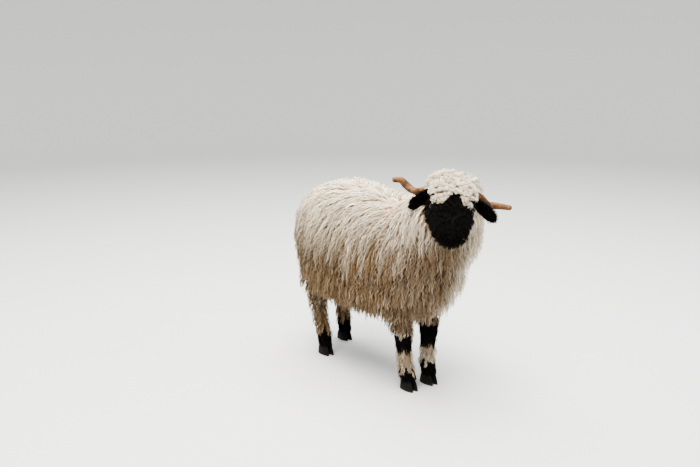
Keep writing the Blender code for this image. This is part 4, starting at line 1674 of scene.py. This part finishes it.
    def mesh(self, name: str, strands: Strands) -> Thing:
        """Makes one closed tapered tube for each strand, joined in one mesh.

        Args:
            name: The piece's name.
            strands: The strands.

        Returns:
            The piece, in the ewe's own frame, with its markings and its OFBake map.
        """
        count, points = strands.middle.shape[:2]
        sides, body = self.SIDES, points - 1
        rings = []
        for k in range(sides):
            angle = 2 * math.pi * k / sides + math.pi / 2
            a = (math.cos(angle) * strands.wide)[:, :, None]
            b = (math.sin(angle) * strands.flat)[:, :, None]
            rings.append(strands.middle + strands.side * a + strands.out * b)
        tube = np.stack(rings, axis=2)[:, :body]
        tip = strands.middle[:, -1:]
        verts = np.concatenate((tube.reshape(count, body * sides, 3), tip), axis=1)
        per = body * sides + 1
        faces = []
        for i in range(0, (body - 1) * sides, sides):
            for k in range(sides):
                n = (k + 1) % sides
                faces.append((i + k, i + sides + k, i + sides + n, i + n))
        quads = np.array(faces, np.int32)
        last = (body - 1) * sides
        caps = [(last + k, body * sides, last + (k + 1) % sides) for k in range(sides)]
        triangles = np.array([(0, 1, 2), *caps], np.int32)
        starts = (np.arange(count) * per)[:, None, None]
        corners = [(kind[None] + starts).reshape(count, -1) for kind in (quads, triangles)]
        loops = np.concatenate(corners, axis=1)
        sizes = np.tile(np.concatenate((np.full(len(quads), 4), np.full(len(triangles), 3))), count)
        data = bpy.data.meshes.new(name)
        data.vertices.add(count * per)
        data.vertices.foreach_set("co", verts.astype(np.float32).ravel())
        data.loops.add(loops.size)
        data.loops.foreach_set("vertex_index", loops.astype(np.int32).ravel())
        data.polygons.add(len(sizes))
        data.polygons.foreach_set("loop_start", (np.cumsum(sizes) - sizes).astype(np.int32))
        data.update(calc_edges=True)

        def on_vertices(values: Array) -> Array:
            """Values of a strand's points, for each of its vertices."""
            around = np.repeat(values[:, :body], sides, axis=1)
            return np.concatenate((around, values[:, -1:]), axis=1).ravel()

        for label, values in (("along", strands.share), ("chance", strands.chance)):
            Markings.write(data, label, on_vertices(values))
        roots = np.repeat(strands.root, per, axis=0)
        Markings.onto(data, roots, np.repeat(strands.zone, per), verts.reshape(-1, 3))
        fibre = np.zeros((count, per, 2), np.float32)
        fibre[:, :-1, 0] = np.tile(np.arange(sides) / sides, (count, body))
        fibre[:, :-1, 1] = np.repeat(strands.share[:, :body], sides, axis=1)
        fibre[:, -1] = (0.5, 1.0)
        patch = strands.tile[:, None, :] + (fibre - 0.5) * self.PATCH
        layer = data.uv_layers.new(name="OFBake")
        layer.data.foreach_set("uv", patch.reshape(-1, 2)[loops.ravel()].astype(np.float32).ravel())
        return Shapes.shown(name, data)

    def build(self, material: Material) -> None:
        """Grows the coat and makes its pieces, each under the limit of triangles.

        Args:
            material: The material of its pieces.
        """
        strands = self.grow()
        per = (strands.middle.shape[1] - 2) * self.SIDES * 2 + self.SIDES + 1
        count = len(strands.middle)
        parts = math.ceil(count * per / self.limit)
        order = np.argsort(strands.root[:, 1], kind="stable")
        for i, chosen in enumerate(np.array_split(order, parts)):
            label = self.name if parts == 1 else f"{self.name}_{i + 1}"
            Shapes.finish(self.mesh(label, strands.part(chosen)), self.slot, material)
        LOG.info("%s: %d strands, %d triangles", self.name, count, count * per)


class Graph:
    """A node tree with short calls to add and join nodes."""

    # The share and the two colours among a colour mix's inputs.
    MIX_INPUTS = (0, 6, 7)

    def __init__(self, tree: bpy.types.NodeTree) -> None:
        """Takes the tree and empties it."""
        self.tree = tree
        tree.nodes.clear()

    @classmethod
    def of_material(cls, name: str) -> tuple["Graph", Material, Node]:
        """Starts a material with its Principled shader joined to the output.

        Args:
            name: The material's name.

        Returns:
            Its tree, the material and the shader.
        """
        material = bpy.data.materials.new(name)
        material.use_nodes = True
        graph = cls(material.node_tree)
        shader = graph.add("ShaderNodeBsdfPrincipled")
        graph.add("ShaderNodeOutputMaterial", {"Surface": shader.outputs["BSDF"]})
        return graph, material, shader

    def add(self, kind: str, inputs: dict | None = None, **settings: object) -> Node:
        """Adds a node.

        Args:
            kind: The node's type.
            inputs: Values or outputs for some of its inputs.
            **settings: Properties to set on it.

        Returns:
            The node.
        """
        node = self.tree.nodes.new(kind)
        for name, value in settings.items():
            setattr(node, name, value)
        self.fill(node, inputs or {})
        return node

    def fill(self, node: Node, inputs: dict) -> None:
        """Sets or links some of a node's inputs, by name or by number."""
        for key, value in inputs.items():
            self.put(node.inputs[key], value)

    def put(self, end: Socket, value: object) -> None:
        """Sets an input to a value, or links it where the value is an output.

        Args:
            end: The input.
            value: A value, or another node's output.
        """
        if isinstance(value, Socket):
            self.tree.links.new(value, end)
        else:
            end.default_value = value

    def read(self, name: str, output: str = "Fac") -> Socket:
        """An attribute of the mesh."""
        return self.add("ShaderNodeAttribute", attribute_name=name).outputs[output]

    def place(self) -> Socket:
        """Object coordinates."""
        return self.add("ShaderNodeTexCoord").outputs["Object"]

    def split(self, place: Socket) -> Sequence[Socket]:
        """The x, y and z of a place."""
        return self.add("ShaderNodeSeparateXYZ", {0: place}).outputs

    def math(self, operation: str, *values: object, clamp: bool = False) -> Socket:
        """A sum of numbers or outputs."""
        inputs = dict(enumerate(values))
        return self.add("ShaderNodeMath", inputs, operation=operation, use_clamp=clamp).outputs[0]

    def mix(self, share: object, first: object, second: object, blend: str = "MIX") -> Socket:
        """A mix of two colours."""
        inputs = dict(zip(self.MIX_INPUTS, (share, first, second)))
        return self.add("ShaderNodeMix", inputs, data_type="RGBA", blend_type=blend).outputs[2]

    def noise(self, place: object, scale: float, detail: float = 3.0) -> Socket:
        """A noise value."""
        inputs = {"Vector": place, "Scale": scale, "Detail": detail}
        return self.add("ShaderNodeTexNoise", inputs).outputs["Fac"]

    def span(self, value: object, low: float, high: float, to: Pair = (0.0, 1.0)) -> Socket:
        """A value moved smoothly from one range to another."""
        inputs = dict(enumerate((value, low, high, *to)))
        return self.add("ShaderNodeMapRange", inputs, interpolation_type="SMOOTHSTEP").outputs[0]

    def stretched(self, place: object, scale: Row) -> Socket:
        """A place scaled along each axis."""
        return self.add("ShaderNodeMapping", {"Vector": place, "Scale": scale}).outputs["Vector"]

    def bump(self, shader: Node, height: object, strength: float, distance: float) -> None:
        """Raises the surface of a shader by a height."""
        inputs = {"Strength": strength, "Distance": distance, "Height": height}
        self.fill(shader, {"Normal": self.add("ShaderNodeBump", inputs).outputs["Normal"]})


def tint(red: float, green: float, blue: float) -> Colour:
    """An opaque colour in linear light."""
    return red, green, blue, 1.0


class WoolTone:
    """The colour of wool and skin from the markings they carry, with painted shade deep in the
    coat, as one node group.
    """

    NAME = "ewe_wool_tone"
    OUTPUTS = {
        "Color": "NodeSocketColor", "Roughness": "NodeSocketFloat", "Height": "NodeSocketFloat",
    }
    # Root and tip colours of each wool: the darker roots are painted shade deep in the coat between
    # the locks, and the black wool's paler tips are a painted sheen.
    CREAM = tint(0.50, 0.36, 0.20), tint(0.95, 0.84, 0.65)
    BROWN = tint(0.038, 0.018, 0.006), tint(0.140, 0.079, 0.027)
    BLACK = tint(0.0004, 0.0003, 0.0003), tint(0.0028, 0.0022, 0.0020)
    SALMON = tint(0.98, 0.46, 0.28)
    # How far along a strand the painted root shade fades into the tip colour.
    ROOT_SHADE_TO = 0.75
    PATCH_SCALE = 7.0
    GRAIN_SCALE = 620.0
    GRAIN_STRETCH = (1, 1, 0.35)

    # How far strands differ in dirt and in brightness: change with the dirt or chance, and base.
    MIDDLE_CHANCE = 0.46
    DIRT_SPREAD = (-0.34, 0.76)
    BRIGHTNESS = (-0.42, 1.12)
    ROUGHNESS = (0.78, 0.95)

    @classmethod
    def group(cls) -> bpy.types.NodeTree:
        """Makes the node group the first time that it is asked for.

        Returns:
            The group.
        """
        if cls.NAME in bpy.data.node_groups:
            return bpy.data.node_groups[cls.NAME]
        tree = bpy.data.node_groups.new(cls.NAME, "ShaderNodeTree")
        tree.interface.new_socket("Grain", in_out="INPUT", socket_type="NodeSocketFloat")
        for name, kind in cls.OUTPUTS.items():
            tree.interface.new_socket(name, in_out="OUTPUT", socket_type=kind)
        graph = Graph(tree)
        begin, end = graph.add("NodeGroupInput"), graph.add("NodeGroupOutput")
        place, chance = graph.place(), graph.read("chance")
        # Painted shade: each strand darkens from its tip towards its root.
        along = graph.span(graph.read("along"), 0.0, cls.ROOT_SHADE_TO)
        patches = graph.noise(place, cls.PATCH_SCALE, 2.0)
        dirt = graph.read("brown")
        spread = graph.math("MULTIPLY_ADD", dirt, *cls.DIRT_SPREAD)
        luck = graph.math("SUBTRACT", chance, cls.MIDDLE_CHANCE)
        brown = graph.math("MULTIPLY_ADD", luck, spread, dirt, clamp=True)
        coat = graph.mix(brown, graph.mix(along, *cls.CREAM), graph.mix(along, *cls.BROWN))
        faint = graph.span(patches, 0.35, 0.65, (0.55, 1.0))
        smudge = graph.math("MULTIPLY", graph.read("smudge"), faint)
        coat = graph.mix(smudge, coat, graph.mix(1.0, coat, cls.SALMON, "MULTIPLY"))
        coat = graph.mix(graph.read("black"), coat, graph.mix(along, *cls.BLACK))
        value = graph.math("MULTIPLY_ADD", chance, *cls.BRIGHTNESS)
        value = graph.math("MULTIPLY", value, graph.span(patches, 0.25, 0.75, (0.86, 1.04)))
        bright = graph.add("ShaderNodeCombineColor", {i: value for i in range(3)})
        grain = graph.noise(graph.stretched(place, cls.GRAIN_STRETCH), cls.GRAIN_SCALE, 2.0)
        graph.fill(end, {
            "Color": graph.mix(1.0, coat, bright.outputs[0], "MULTIPLY"),
            "Height": graph.math("MULTIPLY", grain, begin.outputs["Grain"]),
            "Roughness": graph.span(chance, 0.0, 1.0, cls.ROUGHNESS),
        })
        return tree


@dataclass(frozen=True)
class WoolFinish:
    """Wool or the skin under it."""

    name: str
    grain: float = 1.0
    sheen: float = 0.10
    gloss: float = 0.15
    bump: float = 0.35
    sheen_roughness: float = 0.45
    fibre: float = 0.001

    def material(self) -> Material:
        """Makes the material.

        Returns:
            The material.
        """
        graph, material, shader = Graph.of_material(self.name)
        tone = graph.add("ShaderNodeGroup", node_tree=WoolTone.group())
        graph.fill(tone, {"Grain": self.grain})
        graph.bump(shader, tone.outputs["Height"], self.bump, self.fibre)
        graph.fill(shader, {
            "Base Color": tone.outputs["Color"],
            "Roughness": tone.outputs["Roughness"],
            "Sheen Weight": self.sheen,
            "Sheen Roughness": self.sheen_roughness,
            "Specular IOR Level": self.gloss,
        })
        return material


@dataclass(frozen=True)
class HornFinish:
    """Tan blotched horn with painted shade in its grooves, strongest near the root."""

    pale: Colour = tint(0.135, 0.058, 0.017)
    warm: Colour = tint(0.035, 0.013, 0.004)
    # Painted shade in the grooves between the ridges.
    groove: Colour = tint(0.010, 0.004, 0.002)
    blotch_scale: float = 34.0
    fibre_scale: float = 420.0
    roughness: Pair = (0.38, 0.62)
    gloss: float = 0.10
    relief: float = 0.0008

    def material(self) -> Material:
        """Makes the material.

        Returns:
            The material.
        """
        graph, material, shader = Graph.of_material("horn")
        place = graph.place()
        blotch = graph.noise(place, self.blotch_scale, 4.0)
        fibre = graph.noise(place, self.fibre_scale)
        base = graph.mix(graph.span(blotch, 0.35, 0.68), self.warm, self.pale)
        # Painted shade in the grooves, strongest near the root.
        deep = graph.span(graph.read("groove"), 0.30, 0.95)
        groove_shade_strength = graph.span(graph.read("along"), 1.0, 0.2, (0.3, 0.9))
        height = graph.math("ADD", graph.math("MULTIPLY", fibre, 0.5), blotch)
        graph.bump(shader, height, 0.35, self.relief)
        graph.fill(shader, {
            "Base Color": graph.mix(graph.math("MULTIPLY", deep, groove_shade_strength), base, self.groove),
            "Roughness": graph.span(fibre, 0.2, 0.8, self.roughness),
            "Specular IOR Level": self.gloss,
        })
        return material


@dataclass(frozen=True)
class EyeFinish:
    """A dark amber iris with a level slot pupil under a wet cornea."""

    iris: Colour = tint(0.014, 0.007, 0.003)
    fleck: Colour = tint(0.034, 0.017, 0.006)
    white: Colour = tint(0.006, 0.004, 0.003)
    pupil: Colour = tint(0.004, 0.004, 0.005)
    iris_radius: float = 0.62
    limbus: float = 0.78
    white_from: float = 0.68
    slot: Pair = (0.36, 0.15)
    spokes: float = 9.0
    roughness: float = 0.16
    gloss: float = 0.12
    wet: Pair = (0.15, 0.03)

    def material(self) -> Material:
        """Makes the material.

        Returns:
            The material.
        """
        graph, material, shader = Graph.of_material("eye")
        x, y, z = graph.split(graph.read("gaze", "Vector"))
        squares = [graph.math("POWER", side, 2.0) for side in (x, y)]
        rim = graph.math("SQRT", graph.math("ADD", *squares))
        turn = graph.math("MULTIPLY", graph.math("ARCTAN2", y, x), self.spokes)
        spokes = graph.add("ShaderNodeCombineXYZ", {0: turn, 1: rim})
        fibres = graph.noise(spokes.outputs[0], 2.4, 4.0)
        iris = graph.mix(graph.span(fibres, 0.35, 0.7), self.iris, self.fleck)
        edge = graph.span(rim, self.iris_radius * self.limbus, self.iris_radius)
        iris = graph.mix(edge, iris, self.pupil)
        across = graph.math("POWER", graph.math("DIVIDE", x, self.slot[0]), 4.0)
        height = graph.math("POWER", graph.math("DIVIDE", y, self.slot[1]), 2.0)
        slot = graph.span(graph.math("ADD", across, height), 1.15, 0.85)
        round_iris = graph.span(rim, self.iris_radius, self.white_from)
        outside = graph.math("MAXIMUM", round_iris, graph.span(z, 0.1, -0.1))
        colour = graph.mix(slot, iris, self.pupil)
        graph.fill(shader, {
            "Base Color": graph.mix(outside, colour, self.white),
            "Roughness": self.roughness,
            "Coat Weight": self.wet[0],
            "Coat Roughness": self.wet[1],
            "Specular IOR Level": self.gloss,
        })
        return material


@dataclass(frozen=True)
class HoofFinish:
    """Black hoof horn with growth lines, greyed by dust towards the sole."""

    horn: Colour = tint(0.0022, 0.0019, 0.0017)
    worn: Colour = tint(0.0060, 0.0050, 0.0044)
    dust: Colour = tint(0.034, 0.026, 0.018)
    line_stretch: Row = (0.12, 0.12, 1.0)
    line_scale: float = 520.0
    grain_stretch: Row = (1.0, 1.0, 0.06)
    grain_scale: float = 700.0
    dust_scale: float = 90.0
    dust_height: float = 0.016
    roughness: Pair = (0.42, 0.68)
    gloss: float = 0.04
    relief: float = 0.0008

    def material(self) -> Material:
        """Makes the material.

        Returns:
            The material.
        """
        graph, material, shader = Graph.of_material("hoof")
        place = graph.place()
        lines = graph.noise(graph.stretched(place, self.line_stretch), self.line_scale, 2.0)
        grain = graph.noise(graph.stretched(place, self.grain_stretch), self.grain_scale, 2.0)
        base = graph.mix(graph.span(lines, 0.35, 0.7), self.horn, self.worn)
        low = graph.span(graph.split(place)[2], self.dust_height, 0.001)
        cloud = graph.span(graph.noise(place, self.dust_scale), 0.35, 0.6)
        low = graph.math("MULTIPLY", graph.math("MULTIPLY", low, 0.6), cloud)
        height = graph.math("ADD", lines, graph.math("MULTIPLY", grain, 0.4))
        graph.bump(shader, height, 0.5, self.relief)
        graph.fill(shader, {
            "Base Color": graph.mix(low, base, self.dust),
            "Roughness": graph.span(grain, 0.2, 0.8, self.roughness),
            "Specular IOR Level": self.gloss,
        })
        return material


@dataclass(frozen=True)
class FloorFinish:
    """Plain pale studio paper."""

    paper: Colour = tint(0.50, 0.50, 0.49)
    cloud_scale: float = 1.4
    roughness: Pair = (0.86, 0.92)

    def material(self) -> Material:
        """Makes the material.

        Returns:
            The material.
        """
        graph, material, shader = Graph.of_material("studio_paper")
        cloud = graph.noise(graph.place(), self.cloud_scale, 2.0)
        rough = graph.span(cloud, 0.0, 1.0, self.roughness)
        graph.fill(shader, {"Base Color": self.paper, "Roughness": rough})
        return material


@dataclass
class Fleece:
    """Every coat of the ewe: long wavy locks, leg, tail and crown wool and short black wool."""

    skin: Skin
    hem: float = 0.268
    hem_wave: float = 0.012
    surface_share: float = 0.98
    under_share: float = 0.74
    shortest: float = 0.030
    crown_deepest: float = 0.060
    crown_shortest: float = 0.016
    temple_curl: float = 0.014
    temple_side: float = 0.046
    temple_nose: Pair = (0.004, 0.080)
    temple_top: float = 0.060
    fringe_from: float = 0.060
    eye_clear: float = 0.009
    face_shortest: float = 0.007

    # Each kind: spacing, length, rise, strands, spread, gather, width, thickness, steps, wave,
    # wavelength and, where it isn't the usual one, how far it is sunk.
    LONG = Lock(
        0.0128, 0.080, 0, 3, 0.0068, 0.92, 0.0015, 0.0009, 11, 0.0036, 0.0310,
        loose=0.34, tangle=1.0,
    )
    UNDER = Lock(
        0.0240, 0.096, 0, 3, 0.0180, 0.90, 0.0054, 0.0018, 7, 0.0026, 0.050, loose=0.25,
    )
    TAIL = Lock(
        0.0190, 0.090, 0.016, 8, 0.0110, 0.50, 0.0018, 0.0010, 10, 0.0026, 0.034, loose=0.4,
    )
    LEG = Lock(
        0.0132, 0.044, 0.013, 5, 0.0085, 0.80, 0.0017, 0.0010, 8, 0.0026, 0.019, loose=0.5,
    )
    CROWN = Lock(
        0.0068, 0.024, 0, 6, 0.0060, 1.3, 0.0011, 0.0007, 11, 0.0046, 0.0125,
        loose=0.28, tangle=2.6,
    )
    FACE = Lock(
        0.0062, 0.024, 0.0170, 5, 0.0050, 1.1, 0.0011, 0.0007, 5, 0.0026, 0.012, 0.002, loose=0.7,
    )
    MUZZLE = Lock(
        0.0040, 0.014, 0.0060, 3, 0.0026, 1.0, 0.0009, 0.0006, 4, 0.0012, 0.009, 0.001, loose=0.5,
    )
    EAR = Lock(
        0.0058, 0.014, 0.0060, 4, 0.0036, 1.0, 0.0010, 0.0006, 5, 0.0020, 0.012, 0.001, loose=0.6,
    )
    FOOT = Lock(
        0.0060, 0.032, 0.0080, 3, 0.0036, 1.0, 0.0013, 0.0008, 4, 0.0018, 0.016, 0.001, loose=0.6,
    )

    def depth(self, place: Vector, facing: Vector) -> float:
        """How far over the skin the fleece's surface lies."""
        return coat_depth(place, facing) * (1 - self.skin.coat_share) * self.surface_share

    def under_depth(self, place: Vector, facing: Vector) -> float:
        """How far over the skin the fleece's lower locks lie."""
        return self.depth(place, facing) * self.under_share

    def reach(self, place: Vector, facing: Vector) -> float:
        """How long a lock may be so that it ends at the coat's hem."""
        hem = self.hem + self.hem_wave * math.sin(place.y * 31 + place.x * 23)
        return max(self.shortest, place.z - hem)

    def by_temple(self, own: Vector) -> bool:
        """Whether a place in the head's frame is between the eye and the root of the ear."""
        return abs(own.x) > self.temple_side and self.temple_nose[0] < -own.y < self.temple_nose[1]

    def crown_depth(self, place: Vector, facing: Vector) -> float:
        """How far the crown wool reaches out of the skin, to a round cap.

        Args:
            place: A place in the ewe's own frame.
            facing: The way the skin faces there.

        Returns:
            The depth in metres.
        """
        own = HEAD_INVERSE @ place
        arm = own - CAP_AT
        size = CAP_SIZE + Vector((0.022 if arm.x > 0 else 0.010, 0.008, -0.003))
        near = math.sqrt(sum((a / s) ** 2 for a, s in zip(arm, size)))
        least = 0.014 if own.y < 0 else 0.028
        to_cap = arm.length * (1 / near - 1) if near > 0.05 else size.z
        depth = min(self.crown_deepest, max(least, to_cap))
        flat = self.by_temple(own) and own.z < self.temple_top
        return min(depth, self.temple_curl) if flat else depth

    def crown_reach(self, place: Vector, facing: Vector) -> float:
        """How long a curl may be, so that the fringe ends over the brow and by the temples.

        Args:
            place: A place in the ewe's own frame.
            facing: The way the skin faces there.

        Returns:
            The length in metres.
        """
        own = HEAD_INVERSE @ place
        if self.by_temple(own):
            return self.temple_curl
        if -own.y < self.fringe_from:
            return self.CROWN.length
        return max(self.crown_shortest, own.z + (0.002 if own.x > 0 else 0.010))

    @staticmethod
    def from_eye(place: Vector) -> float:
        """How far a place is from the nearer eye's opening."""
        own = HEAD_INVERSE @ place
        return (Vector((abs(own.x), own.y, own.z)) - Eye.opening()).length

    def face_depth(self, place: Vector, facing: Vector) -> float:
        """How far the face wool stands out, less round the eyes."""
        return self.FACE.rise * (0.25 + 0.75 * ease((self.from_eye(place) - 0.012) / 0.026))

    def face_reach(self, place: Vector, facing: Vector) -> float:
        """How long the face wool may be, so that it leaves the eyes clear."""
        return max(self.face_shortest, self.from_eye(place) - self.eye_clear)

    def build(self) -> None:
        """Grows every coat."""
        wool = WoolFinish("fleece_wool").material()
        black = WoolFinish("black_wool", sheen=0.0, gloss=0.03).material()
        deep, under, reach = self.depth, self.under_depth, self.reach
        crown = (self.crown_depth, self.crown_reach)
        face = (self.face_depth, self.face_reach)
        cream_coats = (
            ("fleece_locks", self.LONG, Lies.body, Faces.body, 0, deep, reach),
            ("fleece_under_locks", self.UNDER, Lies.body, Faces.body, 40, under, reach),
            ("tail_wool", self.TAIL, Lies.down, Faces.tail, 80, None, None),
            ("crown_wool", self.CROWN, Lies.crown, Faces.crown, 120, *crown),
            ("leg_wool", self.LEG, Lies.down, Faces.legs, 160, None, None),
        )
        black_coats = (
            ("face_wool", self.FACE, Lies.face, Faces.face, 200, *face),
            ("muzzle_hair", self.MUZZLE, Lies.face, Faces.muzzle, 200, None, None),
            ("ear_wool", self.EAR, Lies.ear, Faces.ears, 200, None, None),
            ("foot_hair", self.FOOT, Lies.down, Faces.feet, 200, None, None),
        )
        for slot, material, coats in (
            (Finish.FLEECE, wool, cream_coats),
            (Finish.BLACK_WOOL, black, black_coats),
        ):
            for name, lock, lie, wanted, seed, rise, long in coats:
                coat = Coat(self.skin, name, lock, lie, wanted, slot, SEED + seed, rise, long)
                coat.build(material)


@dataclass
class Studio:
    """Pale paper floor that curves up all round, soft lights, and the photograph's camera."""

    target: Vector = field(default_factory=lambda: Vector((-0.142, 0.0, 0.62)))
    azimuth: float = -35.0
    elevation: float = 12.5
    distance: float = 4.084
    lens: float = 50.0
    sensor: float = 36.0
    floor_radius: float = 7.0
    curve_radius: float = 2.5
    wall: float = 3.0
    curve_steps: int = 12
    spin_steps: int = 96

    SKY = ((0.93, 0.96, 1.0, 1.0), 1.05)
    LIT = Vector((0, 0, 0.5))

    # Soft lights: name, place, size, power and colour.
    LIGHTS = (
        ("key", Vector((-2.0, -1.4, 4.8)), 3.0, 1120.0, (1.0, 0.97, 0.92)),
        ("top", Vector((0.2, 0.8, 4.8)), 4.0, 1200.0, (1.0, 0.99, 0.97)),
        ("side", Vector((3.6, -2.6, 2.6)), 2.4, 180.0, (0.92, 0.96, 1.0)),
    )

    def build(self) -> None:
        """Makes floor, lights and camera."""
        self.floor()
        scene = bpy.context.scene
        scene.world = scene.world or bpy.data.worlds.new("studio")
        scene.world.use_nodes = True
        sky = scene.world.node_tree.nodes["Background"]
        sky.inputs["Color"].default_value, sky.inputs["Strength"].default_value = self.SKY
        for light in self.LIGHTS:
            self.light(*light)
        self.camera()

    def floor(self) -> None:
        """A round floor with a rim that curves up, spun from its section."""
        mesh = bmesh.new()
        points = [ORIGIN, Vector((self.floor_radius, 0, 0))]
        for i in range(1, self.curve_steps + 1):
            angle = math.pi / 2 * i / self.curve_steps
            out = self.floor_radius + math.sin(angle) * self.curve_radius
            points.append(Vector((out, 0, (1 - math.cos(angle)) * self.curve_radius)))
        points.append(points[-1] + Z_AXIS * self.wall)
        verts = [mesh.verts.new(p) for p in points]
        edges = [mesh.edges.new(pair) for pair in zip(verts, verts[1:])]
        bmesh.ops.spin(
            mesh, geom=verts + edges, axis=Z_AXIS, cent=ORIGIN, steps=self.spin_steps,
            angle=2 * math.pi, use_merge=True,
        )
        bmesh.ops.remove_doubles(mesh, verts=mesh.verts, dist=0.0001)
        floor = Shapes.piece("studio_floor", mesh)
        floor.data.shade_smooth()
        floor.data.materials.append(FloorFinish().material())
        floor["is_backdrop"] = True

    def light(self, name: str, place: Vector, size: float, power: float, colour: Row) -> None:
        """Adds a square soft light that looks at the ewe.

        Args:
            name: The light's name.
            place: Where it hangs.
            size: The length of its sides.
            power: Its power in watts.
            colour: Its colour.
        """
        data = bpy.data.lights.new(name, "AREA")
        data.size, data.energy, data.color = size, power, colour
        lamp = Shapes.shown(name, data)
        lamp.location = place
        lamp.rotation_euler = (self.LIT - place).to_track_quat("-Z", "Y").to_euler()

    def camera(self) -> None:
        """Adds the camera at the photograph's angle."""
        a, e = math.radians(self.azimuth), math.radians(self.elevation)
        back = Vector((math.sin(a) * math.cos(e), -math.cos(a) * math.cos(e), math.sin(e)))
        data = bpy.data.cameras.new("camera")
        data.lens, data.sensor_width = self.lens, self.sensor
        camera = Shapes.shown("camera", data)
        camera.location = self.target + Shapes.shift + back * self.distance
        camera.rotation_euler = back.to_track_quat("Z", "Y").to_euler()
        bpy.context.scene.camera = camera


def corners() -> list[list[float]]:
    """The shown object's box as plain lists."""
    return [[float(value) for value in corner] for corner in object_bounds()]


def main() -> None:
    """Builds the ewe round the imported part."""
    logging.basicConfig(level=logging.INFO, format="%(name)s: %(message)s")
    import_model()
    noise.seed_set(SEED)
    Shapes.stand_on_part()
    skin = Skin()
    skin.build()
    Fleece(skin).build()
    skin.dress()
    eye, horn, hoof = EyeFinish().material(), HornFinish().material(), HoofFinish().material()
    for side, sign in (("left", 1), ("right", -1)):
        Eye(side, sign).build(eye)
        Horn(side).build(horn)
    for leg in FEET:
        Hoof(leg).build(hoof)
    Studio().build()


if __name__ == "__main__":
    main()
